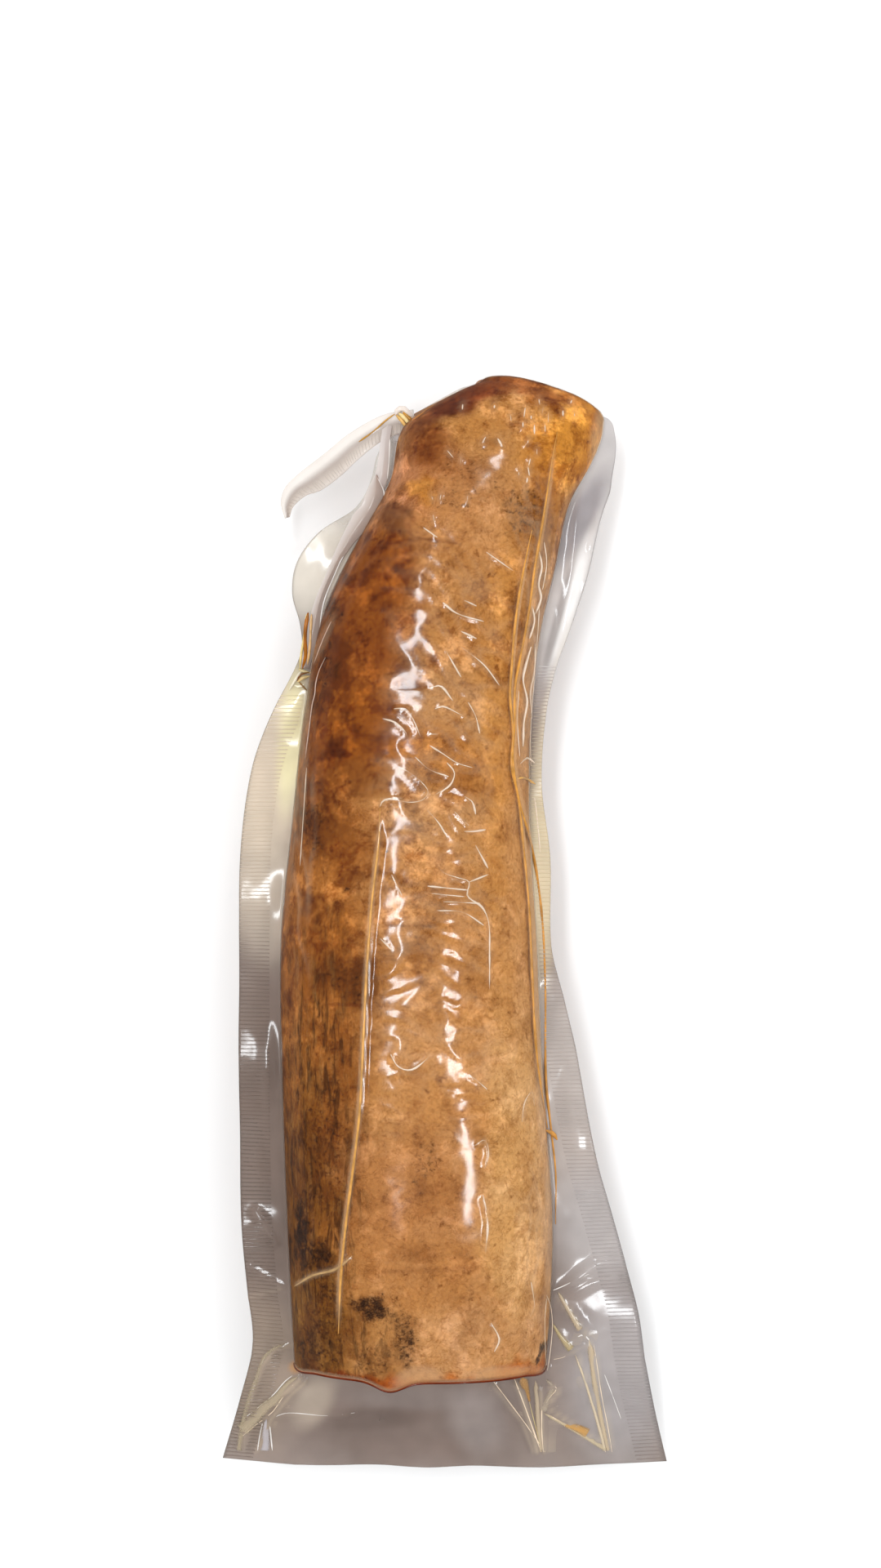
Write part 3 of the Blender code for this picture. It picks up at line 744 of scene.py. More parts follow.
# Thin dark lines in the casing: pixels, half width in millimetres and strength.
CASING_LINES = (
    (((466, 674), (482, 664), (512, 660), (545, 662), (570, 668)), 0.45, 0.7),
    (((388, 914), (418, 903), (450, 901), (482, 908)), 0.5, 0.6),
    (((396, 1231), (420, 1230), (452, 1232)), 0.45, 0.7),
    (((469, 1132), (500, 1134), (540, 1132)), 0.5, 0.55),
    (((470, 622), (486, 620), (502, 628), (510, 640)), 0.45, 0.6),
    (((450, 1558), (520, 1556), (600, 1552)), 0.6, 0.35),
)
LINE_COLOUR = "#6a3412"
LINE_FADE = 0.15  # of a line's length, at each end
# How far the patches' edges wander sideways, and up or down: pixels, sizes in millimetres and seeds.
RAGGED_EDGES = (((15.0, 8.0, 11.3), (9.0, 2.5, 11.3)), ((15.0, 8.0, 17.9), (9.0, 2.5, 17.9)))


def tinted(colour, hex_colour, cover):
    """Colours with another laid over them."""
    return colour + (np.array(linear(hex_colour)) - colour) * cover[..., None]


def patch_cover(pixels, patches, shown):
    """The strongest cover of a set of patches at each vertex of the shown side."""
    cover = np.zeros(pixels.shape[:-1])
    for patch in patches:
        cover = np.maximum(cover, patch_mask(pixels, *patch[:5]) * patch.strength)
    return cover * shown


def patch_colours(pixels, base, patches, shown):
    """The base colour with the patches laid over it one after another."""
    colour = np.empty((*pixels.shape[:-1], 3))
    colour[...] = linear(base)
    for patch in patches:
        colour = tinted(colour, patch.colour, patch_mask(pixels, *patch[:5]) * patch.strength * shown)
    return colour


SAUSAGE_TOP_STEPS, SAUSAGE_UNDER_STEPS = 130, 66
SAUSAGE_ROWS, SAUSAGE_END_ROWS, CAP_RINGS = 350, 7, 16
CUT_INSET, TIP_INSET = -0.15, 0.35  # where the casing starts and ends, from the cut and from the film
RELIEF_AT_SIDES = 0.3  # of the relief on top
SIDE_SHADE, SHADE_CLOUDS = "#8a5527", ((0.5, 26.0, 2.2),)


def grid_normals(points):
    """Outward normals of a grid whose rows run along the pack and whose columns run round it."""
    along = np.gradient(points, axis=0)
    around = np.roll(points, -1, axis=1) - np.roll(points, 1, axis=1)
    normal = np.cross(around, along)
    return normal / np.maximum(np.linalg.norm(normal, axis=-1, keepdims=True), 1e-9)


def sausage_piece():
    """The sausage: casing with lumps and fine relief, a flat cut and a rounded end."""
    last = TIP + TIP_FILM - TIP_INSET
    stations = np.r_[np.linspace(CUT + CUT_INSET, TIP, SAUSAGE_ROWS),
                     TIP + (last - TIP) * np.sin(np.linspace(0, math.pi / 2, SAUSAGE_END_ROWS)[1:])]
    top = 180 - 180 * np.arange(SAUSAGE_TOP_STEPS) / SAUSAGE_TOP_STEPS
    under = -180 * np.arange(SAUSAGE_UNDER_STEPS) / SAUSAGE_UNDER_STEPS
    angles = np.r_[top, under]
    points = Stretch(stations).body(angles, inset=CASING_GAP)
    relief = roughened(points, CASING_ROUGH) - CASING_SUNK
    relief *= RELIEF_AT_SIDES + (1 - RELIEF_AT_SIDES) * np.abs(np.sin(np.radians(angles)))
    points = points + grid_normals(points) * relief[..., None]
    shown = np.broadcast_to(ease(np.sin(np.radians(angles)) / 0.3 + 0.4), points.shape[:2])

    shares = np.arange(1, CAP_RINGS) / CAP_RINGS
    caps = []
    for ring in (points[0], points[-1]):
        centre = ring.mean(axis=0)
        caps.append(np.array([centre + (ring - centre) * (1 - share) for share in shares]))
    caps[0][..., 1] += roughened(caps[0], CUT_ROUGH) * (shares / (shares + 0.1))[:, None]
    rows = np.concatenate([caps[0][::-1], points, caps[1]])
    shown = np.pad(shown, ((CAP_RINGS - 1, CAP_RINGS - 1), (0, 0)), "edge")
    vertices, faces = closed_tube(rows)
    piece = make_piece("sausage", vertices, faces, casing_material())
    piece.data.materials.append(cut_meat_material())
    columns = rows.shape[1]
    material_of = np.zeros(len(faces), np.int32)
    material_of[: (CAP_RINGS - 1) * columns] = 1
    material_of[-2 * columns :: 2] = 1
    piece.data.polygons.foreach_set("material_index", material_of)

    pixels = pixels_of(vertices)
    flags = np.r_[shown.reshape(-1), 0.5, 0.5]
    wander = [roughened(vertices, layers) for layers in RAGGED_EDGES]
    ragged = pixels + np.stack(wander, -1)
    colour = patch_colours(ragged, CASING_BASE, CASING_TONE_AND_SHADE_PATCHES, flags)
    below = (1 - flags) * (0.5 + roughened(vertices, SHADE_CLOUDS))
    colour = tinted(colour, SIDE_SHADE, below)
    for line, width, strength in CASING_LINES:
        distance, share = line_distance(pixels, line)
        ends = end_fade(share, LINE_FADE)
        mask = strength * ends * np.exp(-((distance / PIXELS_PER_MM / width) ** 2)) * flags
        colour = tinted(colour, LINE_COLOUR, mask)
    # The painted casing colour, with painted shade on the left face.
    paint_colour(piece, "casing_tint_and_shade", colour * OILED)
    paint_value(piece, "mould", patch_cover(ragged, MOULD_PATCHES, flags))
    paint_value(piece, "fibre", patch_cover(ragged, FIBRE_PATCHES, flags))
    paint_value(piece, "mottle", 1 - patch_cover(ragged, CALM_PATCHES, flags))
    return piece


FILM_GREY = "#8e7f77"
FREE_HAZE = 0.82
FILM_SHADE = 0.97
FILM_CLOUDS = ((0.16, 15.0, 15.0), (0.10, 4.0, 4.0))  # strengths, sizes in mm and seeds of its clouds
FREE_FILM_PATCHES = all_of(Patch, (
    (322, 1400, 60, 240, 0, 0.9, "#7c6b62"), (335, 960, 40, 130, 8, 0.95, "#decdb8"),
    (357, 905, 15, 80, 5, 0.95, "#f1e7ba"), (330, 1100, 40, 70, 0, 0.7, "#cdbfae"),
    (395, 690, 50, 70, 20, 1.0, "#e3dacd"), (735, 560, 36, 90, 10, 0.95, "#c5c0bf"),
    (702, 720, 36, 130, 16, 0.9, "#cdc6c3"), (712, 634, 16, 60, 29, 0.95, "#9c9698"),
    (700, 735, 9, 80, 17, 0.95, "#f6f3f1"), (682, 765, 5, 70, 15, 0.85, "#a39b98"),
    (687, 815, 8, 60, 15, 0.9, "#e6dfd8"), (676, 900, 14, 60, 5, 0.9, "#e6d9c6"),
    (664, 1060, 16, 140, 0, 0.9, "#e4d3b2"), (700, 1330, 50, 140, 0, 0.9, "#bdb3ad"),
    (740, 1500, 60, 70, 0, 0.9, "#b8b1af"), (760, 1680, 60, 110, 0, 0.9, "#a9a2a1"),
    (320, 1680, 50, 90, 0, 0.8, "#9c8a7a"), (500, 1750, 140, 50, 0, 0.9, "#7d6c64"),
    (520, 1712, 90, 14, 0, 0.5, "#938782"), (455, 1738, 60, 12, -4, 0.6, "#6b5b54"),
    (585, 1740, 40, 30, 60, 0.7, "#a0948f"), (385, 1715, 20, 34, 30, 0.7, "#b4a594"),
    (362, 1674, 7, 7, 0, 0.7, "#b98650"), (490, 528, 10, 12, 0, 0.9, "#e2dfe6"),
    (545, 488, 60, 20, -31, 1.0, "#a3642a"),
))
# Where the free film lies single and unwrinkled, and so hides hardly anything.
CLEAR_PATCHES = all_of(Patch, (
    (450, 585, 24, 60, 25, 0.92), (415, 640, 16, 26, 30, 0.5),
))
# Where the tight film is thick, folded or stands off, and so hides the casing a little.
BODY_HAZE = 0.005
# Pale film along the wrinkles: partly film that stands off, partly a painted highlight along each wrinkle.
WRINKLE_HAZE_AND_SHEEN = 0.45  # for each millimetre that a wrinkle stands off
BODY_FILM_BASE = "#d9b995"
BODY_FILM_PATCHES = all_of(Patch, (
    (654, 800, 9, 170, 6, 0.26, "#a58c78"), (657, 1200, 6, 200, -2, 0.28, "#dcc49c"),
    (377, 880, 4, 60, 6, 0.14, "#b39a8a"), (396, 786, 5, 34, 24, 0.14, "#a48676"),
    (372, 975, 4, 60, 4, 0.14, "#b8a392"), (672, 1500, 6, 90, 0, 0.22, "#d8c6ac"),
    (738, 530, 12, 40, 10, 0.4, "#d8a860"), (512, 1690, 26, 14, -10, 0.45, "#d08428"),
    (620, 1682, 40, 8, -3, 0.5, "#d08428"), (657, 1686, 14, 10, 0, 0.6, "#b8641c"),
))
AMBER = "#c58a3e"
PALE_OIL, PALE_OIL_COVER = "#d8c4a4", 0.3
CUT_LINE, CUT_LINE_HAZE = "#7c3410", 0.9
EDGE_DROP = 0.55  # how far past the cut the film has turned down, in millimetres
EDGE_DARKER = 0.62  # the film's outermost edge, seen end on

# Points of the pouch across and along.
UPPER_MARGIN, LOWER_MARGIN = 19, 6
DOME_COLUMNS, BELLY_COLUMNS = 152, 26
TAIL_ROWS, CUT_ROWS, BODY_ROWS, TIP_ROWS = 38, 8, 356, 6
CUT_ROWS_CLOSER = 0.7  # brings the cut's rows closer together towards its edge
FREE_SOONER = 3.0  # the margins crumple in full a third of the way out


def pouch_piece(material):
    """The clear pouch: tight over the sausage, flat in its margins and its tail."""
    foot = CUT - CUT_FACE
    rows = np.concatenate([
        np.linspace(CUT - TAIL, foot, TAIL_ROWS, endpoint=False),
        foot + CUT_FACE * np.linspace(0, 1, CUT_ROWS, endpoint=False) ** CUT_ROWS_CLOSER,
        np.linspace(CUT, TIP, BODY_ROWS),
        TIP + TIP_FILM * np.sin(np.linspace(0, math.pi / 2, TIP_ROWS + 1)[1:]),
    ])
    stretch = Stretch(rows)
    upper, lower = np.linspace(0, 1, UPPER_MARGIN), np.linspace(0, 1, LOWER_MARGIN)
    dome = 180 - 180 * np.arange(1, DOME_COLUMNS) / DOME_COLUMNS
    belly = -180 * np.arange(1, BELLY_COLUMNS) / BELLY_COLUMNS
    parts = [
        stretch.margin(upper[::-1], -1, 1),
        stretch.body(dome),
        stretch.margin(upper, 1, 1),
        stretch.margin(lower[::-1], 1, -1),
        stretch.body(belly),
        stretch.margin(lower, -1, -1),
    ]
    points = np.concatenate(parts, axis=1)
    edges = np.cumsum([0, *[part.shape[1] for part in parts]])
    pixels = pixels_of(points)

    tight = np.zeros(points.shape[:2])  # 1 where the film is drawn over the sausage
    lift = np.zeros(points.shape[:2])
    tight[:, edges[1] : edges[2]] = tight[:, edges[4] : edges[5]] = stretch.swell[:, None]
    lift[:, edges[1] : edges[2]] = np.sqrt(np.sin(np.radians(dome)))[None, :] * stretch.swell[:, None]
    free = 1 - tight
    for start, shares in ((0, upper[::-1]), (2, upper), (3, lower[::-1]), (5, lower)):
        rise = ease(shares * FREE_SOONER)[None, :]
        free[:, edges[start] : edges[start + 1]] = rise + (1 - rise) * (1 - stretch.swell[:, None])

    body_height, body_oil, wrinkled = body_relief(points, pixels)
    flat_height, flat_oil = flat_relief(points, pixels)
    points = points + grid_normals(points) * (body_height * lift)[..., None]
    points[..., 2] += flat_height * free
    piece = make_piece("pouch", points, sheet_faces(len(rows), edges[3], points.shape[1]), material)

    on_top = (lift > 0) * 1.0
    colour = patch_colours(pixels, FILM_GREY, FREE_FILM_PATCHES, 1.0)
    colour = tinted(colour, PALE_OIL, PALE_OIL_COVER * flat_oil)
    colour *= FILM_SHADE * (1 + roughened(points * (1, 1, 0), FILM_CLOUDS))[..., None]
    colour[:, [0, edges[3] - 1, edges[3], -1]] *= EDGE_DARKER
    haze = FREE_HAZE * (1 - patch_cover(pixels, CLEAR_PATCHES, 1.0))
    body_colour = patch_colours(pixels, BODY_FILM_BASE, BODY_FILM_PATCHES, 1.0)
    body_colour = tinted(body_colour, AMBER, body_oil)
    body_haze = np.maximum(BODY_HAZE + patch_cover(pixels, BODY_FILM_PATCHES, on_top), body_oil * on_top)
    # Paler film along every wrinkle, partly a painted highlight.
    body_haze = np.maximum(body_haze, WRINKLE_HAZE_AND_SHEEN * wrinkled * on_top)
    near = np.where((rows > CUT)[:, None], tight > 0, ease((tight - 0.25) / 0.5))
    colour += (body_colour - colour) * near[..., None]
    haze += (body_haze - haze) * near
    edge = np.exp(-(((CUT - rows - EDGE_DROP) / EDGE_DROP) ** 4))[:, None] * (tight > 0)
    colour = tinted(colour, CUT_LINE, edge)
    haze = np.maximum(haze, CUT_LINE_HAZE * edge)
    paint_colour(piece, "film_tint", colour)
    paint_value(piece, "haze", haze)
    return piece, points[:, : edges[3]].reshape(-1, 3)


NEIGHBOURS, NEAREST = 5, 0.3  # points that give a height, and pixels added to their distances
EVENED = (0.1, 0.2, 0.4, 0.2, 0.1)  # shares of a height's neighbours along a line


class FilmTop:
    """The pouch's shown side, to lay threads and knots where the photograph has them."""

    def __init__(self, points):
        self.heights = points[:, 2]
        self.tree = KDTree(len(points))
        for index, (x, y) in enumerate(pixels_of(points).tolist()):
            self.tree.insert((x, y, 0.0), index)
        self.tree.balance()

    def height(self, pixel):
        """The film's height where the camera sees it at a pixel."""
        found = self.tree.find_n((pixel[0], pixel[1], 0.0), NEIGHBOURS)
        weights = np.array([1 / (distance + NEAREST) for _, _, distance in found])
        return float(self.heights[[index for _, index, _ in found]] @ weights / weights.sum())

    def line(self, pixels, spacing, sunk=0.0, given=()):
        """Points along a line of pixels, about spacing millimetres apart, on the film or at given heights."""
        pixels = np.asarray(pixels, float)
        travelled = np.r_[0, np.cumsum(np.linalg.norm(np.diff(pixels, axis=0), axis=1))]
        count = max(int(travelled[-1] / PIXELS_PER_MM / spacing), 3) + 1
        at = np.linspace(0, travelled[-1], count)
        curve = np.stack([smooth(travelled, pixels[:, axis], at) for axis in range(2)], -1)
        if given:
            heights = np.interp(np.linspace(0, 1, len(at)), np.linspace(0, 1, len(given)), given)
        else:
            heights = np.pad([self.height(pixel) for pixel in curve], 2, "edge")
            heights = np.convolve(heights, EVENED, "valid") - sunk
        return np.array([(*place_at(pixel, z), z) for pixel, z in zip(curve, heights)])


def place_at(pixel, height):
    """The place in millimetres that the camera sees at a pixel, at that height."""
    depth = (CAMERA_PLACE[2] - height) / FOCAL_PIXELS
    return (CAMERA_PLACE[0] + (pixel[0] - IMAGE_MIDDLE[0]) * depth,
            CAMERA_PLACE[1] - (pixel[1] - IMAGE_MIDDLE[1]) * depth)


def sweep_tree(name, material):
    """Geometry Nodes that sweep a round section along every chain of edges."""
    tree = bpy.data.node_groups.new(name, "GeometryNodeTree")
    for socket_name, kind in (("Chains", "NodeSocketGeometry"), ("Radius", "NodeSocketFloat"),
                              ("Sides", "NodeSocketInt")):
        tree.interface.new_socket(socket_name, in_out="INPUT", socket_type=kind)
    tree.interface.new_socket("Swept", in_out="OUTPUT", socket_type="NodeSocketGeometry")
    given = add(tree, "NodeGroupInput").outputs
    curves = add(tree, "GeometryNodeMeshToCurve", {"Mesh": given["Chains"]}).outputs["Curve"]
    girth = add(tree, "GeometryNodeInputNamedAttribute", {"Name": "girth"},
                data_type="FLOAT").outputs["Attribute"]
    radius = add(tree, "ShaderNodeMath", {0: girth, 1: given["Radius"]}, operation="MULTIPLY").outputs[0]
    section = add(tree, "GeometryNodeCurvePrimitiveCircle", {"Resolution": given["Sides"], "Radius": 1.0})
    swept = add(tree, "GeometryNodeCurveToMesh", {"Curve": curves, "Profile Curve": section.outputs["Curve"],
                "Scale": radius, "Fill Caps": True}).outputs["Mesh"]
    rounded = add(tree, "GeometryNodeSetShadeSmooth", {"Geometry": swept}).outputs["Geometry"]
    real = add(tree, "GeometryNodeRealizeInstances", {"Geometry": rounded}).outputs["Geometry"]
    done = add(tree, "GeometryNodeSetMaterial", {"Geometry": real, "Material": material}).outputs["Geometry"]
    add(tree, "NodeGroupOutput", {"Swept": done})
    return tree


def swept_piece(name, chains, girths, colours, haze, radius, sides, material):
    """A piece swept along chains of points, each chain with its own girth and colour."""
    vertices, links, girth_of, colour_of = [], [], [], []
    for chain, girth, colour in zip(chains, girths, colours):
        first = len(vertices)
        vertices += list(chain)
        links += [(first + i, first + i + 1) for i in range(len(chain) - 1)]
        girth_of += list(np.broadcast_to(girth, len(chain)))
        colour_of += [tuple(colour)] * len(chain)
    piece = make_piece(name, vertices, [], material, links)
    paint_value(piece, "girth", girth_of)
    paint_colour(piece, "film_tint", colour_of)
    paint_value(piece, "haze", np.full(len(vertices), haze))
    tree = sweep_tree(name + " sweep", material)
    modifier = piece.modifiers.new("sweep", "NODES")
    modifier.node_group = tree
    for label, value in (("Radius", radius * MM), ("Sides", sides)):
        modifier[tree.interface.items_tree[label].identifier] = value
    shape = piece.evaluated_get(bpy.context.evaluated_depsgraph_get())
    mesh = bpy.data.meshes.new_from_object(shape)
    piece.modifiers.clear()
    piece.data = mesh
    return piece


# A thread along pixels: girth in millimetres, colour, and its heights where it doesn't lie on the film.
Thread = namedtuple("Thread", "line girth colour heights", defaults=((),))
THREAD_SPACING, THREAD_SIDES = 0.9, 8
THREAD_SUNK = 0.35  # of its girth, into the film
THREAD_THINNEST, THREAD_FADE = 0.35, 0.12  # of its girth and its length, at both ends
THREAD_LUMPS, THREAD_LEAST = (4.0, 5.1), 0.15  # the noise's size and seed, and the least share of girth
OIL_THREADS = all_of(Thread, (
    (LEFT_RIDGE, 0.28, "#c8924c"), (RIGHT_RIDGE_INNER, 0.3, AMBER), (RIGHT_RIDGE_OUTER, 0.3, AMBER),
    (LOW_LEFT_CREASE, 0.26, "#b28e60"), (TOP_LEFT_CREASE, 0.22, "#b87430"),
    (((378, 750), (375, 767), (374, 785), (375, 803), (371, 819)),
     0.42, "#a4621a", (26.1, 25.9, 25.5, 25.1, 24.4)),
    (((376, 752), (372, 785), (369, 805), (368, 819)), 0.24, "#e6cc88", (26.1, 25.6, 25.1, 24.4)),
    (((382, 752), (381, 772), (380, 792), (377, 814)), 0.34, "#d9b07a", (26.1, 25.8, 25.4, 24.6)),
    (((486, 508), (494, 517), (502, 530)), 0.42, "#dcae62", (22.0,)),
    (((489, 506), (498, 514), (505, 527)), 0.46, "#efd596", (22.3,)),
    (((494, 505), (502, 512), (508, 523)), 0.44, "#c08a38", (22.2,)),
    (((499, 508), (507, 513), (516, 512)), 0.4, "#c99448", (21.9,)),
    (((497, 531), (503, 532), (509, 529)), 0.42, "#8f5a1c", (21.8,)),
    (((484, 507), (474, 514), (457, 529), (440, 541)), 0.2, "#bb8a3a", (22.7, 22.5, 22.2, 21.6)),
    (((366, 819), (372, 822), (381, 824)), 0.34, "#e4cf98", (24.6,)),
    (((364, 834), (369, 826), (380, 823)), 0.22, "#85552a", (24.8,)),
    (((365, 835), (371, 830), (380, 828)), 0.4, "#e0c286", (24.5,)),
    (((366, 834), (371, 840), (377, 846)), 0.2, "#8f6a3c", (24.4,)),
    (((355, 845), (362, 833), (370, 821)), 0.36, "#dcd2ba", (24.4,)),
    (((361, 839), (367, 841), (373, 838)), 0.3, "#f1ead0", (24.3,)),
    (((628, 957), (641, 952), (656, 960)), 0.3, "#c9974e"),
    (((669, 1384), (678, 1388), (683, 1396)), 0.5, "#c58a3e"),
    (((694, 1746), (703, 1748), (716, 1753)), 0.3, "#cf9c50"),
))
# Threads of folded film: their white, cream and warm white are partly painted glints, where the folds catch
# light.
FOLD_GLINT_WHITE, FOLD_GLINT_CREAM, FOLD_GLINT_WARM = "#f4efea", "#fbe4c8", "#ecd9c4"
FOLD_AND_GLINT_THREADS = all_of(Thread, (
    (((484, 508), (488, 502), (494, 500), (500, 505), (506, 511)), 0.45, "#e8dcd2", (22.2,)),
    (((460, 581), (466, 591), (471, 604), (469, 618), (462, 630), (444, 653), (424, 676), (411, 702),
      (397, 738), (391, 776)),
     0.13, FOLD_GLINT_WHITE, (25.4, 25.9, 26.1, 26.3, 26.5, 26.7, 26.8, 26.6, 26.1, 25.5)),
    (((478, 538), (477, 563), (475, 586)), 0.1, FOLD_GLINT_WHITE, (24.0, 24.8, 25.3)),
    (((406, 761), (396, 783), (385, 812)), 0.12, "#c9aa98"),
    (((399, 805), (391, 822), (387, 838), (386, 850), (383, 862), (380, 885), (374, 930)),
     0.12, "#c2a696"),
    (((376, 940), (372, 1000), (368, 1060)), 0.1, "#d8c4ae"),
    (((661, 676), (664, 694), (660, 716), (663, 732), (656, 752)), 0.26, FOLD_GLINT_WARM),
    (((667, 664), (670, 690), (665, 722)), 0.16, FOLD_GLINT_WARM),
    (((652, 742), (655, 760), (649, 782)), 0.24, FOLD_GLINT_WARM),
    (((651, 792), (645, 812), (641, 832), (646, 858), (642, 884), (641, 914)), 0.26, FOLD_GLINT_WARM),
    (((656, 788), (655, 820), (650, 848), (652, 880)), 0.16, FOLD_GLINT_WARM),
    (((661, 745), (658, 790), (654, 836), (650, 905), (651, 938)), 0.13, FOLD_GLINT_WARM),
    (((636, 846), (634, 880), (637, 926)), 0.12, FOLD_GLINT_WARM),
    (((638, 935), (646, 928), (655, 934)), 0.2, FOLD_GLINT_WARM),
    (((655, 975), (659, 1010), (662, 1046)), 0.16, FOLD_GLINT_WARM),
    (((670, 1586), (675, 1600), (677, 1622), (675, 1650), (671, 1678)), 0.11, FOLD_GLINT_WARM),
    (((670, 1590), (668, 1612), (668, 1642), (670, 1676)), 0.07, FOLD_GLINT_WARM),
    (((603, 1689), (625, 1718), (651, 1753), (668, 1778)), 0.1, FOLD_GLINT_CREAM),
    (((630, 1687), (640, 1713), (654, 1752), (663, 1778)), 0.14, FOLD_GLINT_CREAM),
    (((647, 1709), (652, 1730), (658, 1753), (664, 1778)), 0.1, "#dcc88e"),
    (((664, 1718), (664, 1753), (666, 1778)), 0.12, FOLD_GLINT_CREAM),
    (((666, 1729), (691, 1743), (718, 1757)), 0.12, FOLD_GLINT_CREAM),
    (((669, 1690), (682, 1700), (673, 1712), (665, 1727)), 0.09, FOLD_GLINT_CREAM),
    (((362, 1682), (350, 1691), (338, 1705), (331, 1712), (317, 1723), (303, 1734)), 0.14, FOLD_GLINT_WHITE),
    (((371, 1687), (355, 1700), (344, 1715), (334, 1729), (311, 1747), (298, 1758)), 0.11, FOLD_GLINT_CREAM),
    (((341, 1711), (326, 1724), (310, 1738)), 0.08, "#7a6a4c"),
    (((323, 1739), (319, 1756), (316, 1776)), 0.14, FOLD_GLINT_WHITE),
    (((330, 1738), (332, 1756), (334, 1776)), 0.14, FOLD_GLINT_WHITE),
    (((332, 1738), (344, 1732), (355, 1730), (371, 1731), (392, 1733), (409, 1733), (435, 1730)),
     0.08, FOLD_GLINT_WHITE),
    (((705, 1659), (717, 1691), (735, 1750), (742, 1778)), 0.13, FOLD_GLINT_CREAM),
    (((727, 1642), (731, 1667), (737, 1707), (746, 1753), (750, 1778)), 0.09, FOLD_GLINT_CREAM),
    (((738, 1676), (750, 1707), (761, 1737)), 0.1, FOLD_GLINT_WHITE),
    (((677, 1620), (691, 1643), (701, 1653)), 0.1, FOLD_GLINT_CREAM),
    (((675, 1665), (690, 1662), (703, 1654)), 0.08, FOLD_GLINT_CREAM),
    (((704, 1641), (711, 1635), (719, 1637), (724, 1645)), 0.16, FOLD_GLINT_WHITE),
    (((678, 1580), (692, 1574), (708, 1566), (722, 1560)), 0.12, FOLD_GLINT_WHITE),
))
FOLD_GIRTH = 0.12
DASH = 4.0  # pixels from the middle of a dimple's glint to its end, on average


def threads(name, top, lines, material, haze, unevenness):
    """Threads laid along lines of pixels, thinner towards both ends."""
    chains, girths = [], []
    for thread in lines:
        chain = top.line(thread.line, THREAD_SPACING, thread.girth * THREAD_SUNK, thread.heights)
        share = np.linspace(0, 1, len(chain))
        uneven = np.maximum(1 + unevenness * noise_at(chain, *THREAD_LUMPS), THREAD_LEAST)
        taper = THREAD_THINNEST + (1 - THREAD_THINNEST) * end_fade(share, THREAD_FADE)
        chains.append(chain)
        girths.append(thread.girth * uneven * taper)
    colours = [linear(thread.colour) for thread in lines]
    return swept_piece(name, chains, girths, colours, haze, 1.0, THREAD_SIDES, material)


def film_folds_and_glints(top, material):
    """Sharp folds of the film over the sausage and in the tail, each a hair of doubled film, partly a painted
    glint.
    """
    fine = [Thread(line, FOLD_GIRTH, FOLD_GLINT_WARM) for line in FINE_CREASES]
    glint_dashes = []
    # Short painted glints on the dimples.
    for number, (x, y, lean) in enumerate(DIMPLES):
        reach = DASH * (0.5 + 0.3 * (number % 4))
        right, down = reach * math.sin(math.radians(lean)), reach * math.cos(math.radians(lean))
        glint_dashes.append(Thread(((x + right, y - down), (x - right, y + down)), FOLD_GIRTH, FOLD_GLINT_WARM))
    folds = threads("film_folds_and_glints", top, FOLD_AND_GLINT_THREADS, material, haze=0.8, unevenness=0.6)
    return [folds, threads("fine_fold_glints", top, [*fine, *glint_dashes], material, haze=0.6, unevenness=2.2)]


def cut_rim(material):
    """A thin dark red-brown thread where the film bends over the edge of the cut."""
    edge = Stretch([CUT - EDGE_DROP]).body(np.linspace(176, 4, 140))[0]
    return swept_piece("cut_rim", [edge], [1.0], [linear("#5c1e06")], 1.0, 0.2, THREAD_SIDES, material)


# Slivers of folded film in the tail: pixels, width in pixels at both ends, colour and haze.
Sliver = namedtuple("Sliver", "line first_width last_width colour haze")
SLIVERS = all_of(Sliver, (
    (((352, 1644), (338, 1651), (326, 1660), (320, 1673), (314, 1690), (306, 1712), (298, 1745), (294, 1776)),
     4, 8, "#b8a88e", 0.5),
    (((367, 1684), (352, 1696), (340, 1711), (326, 1722), (310, 1738), (297, 1751)), 5, 18, "#c4b398", 0.5),
    (((327, 1737), (326, 1756), (325, 1776)), 5, 14, "#cfc8cc", 0.5),
    (((640, 1686), (645, 1702), (649, 1716)), 13, 3, "#c0925a", 0.6),
    (((656, 1690), (659, 1712), (660, 1735), (663, 1776)), 7, 8, "#d6c2a6", 0.5),
    (((669, 1689), (677, 1698), (671, 1713), (665, 1727)), 4, 10, "#c6b6a2", 0.4),
    (((666, 1730), (690, 1743), (714, 1757), (742, 1774)), 4, 7, "#d6c4a4", 0.55),
    (((690, 1744), (704, 1747), (720, 1755)), 7, 12, "#d0a262", 0.6),
    (((684, 1582), (694, 1600), (703, 1615), (711, 1628)), 4, 8, "#d6c2a4", 0.55),
    (((722, 1640), (726, 1667), (731, 1707), (740, 1753), (745, 1776)), 9, 5, "#d8c3a4", 0.55),
    (((705, 1659), (717, 1691), (735, 1750), (741, 1776)), 3, 5, "#e0cfb4", 0.6),
    (((677, 1620), (684, 1632), (692, 1643), (700, 1652)), 2, 10, "#cab78c", 0.55),
))
SLIVER_COLUMNS, SLIVER_LIFT = 5, 0.2
SLIVER_POINT, SLIVER_TAPER = 0.1, 0.12  # of its width and its length, where it begins
SLIVER_FADE = (0.25, 0.9, 1.0, 0.9, 0.25)  # of its haze, across


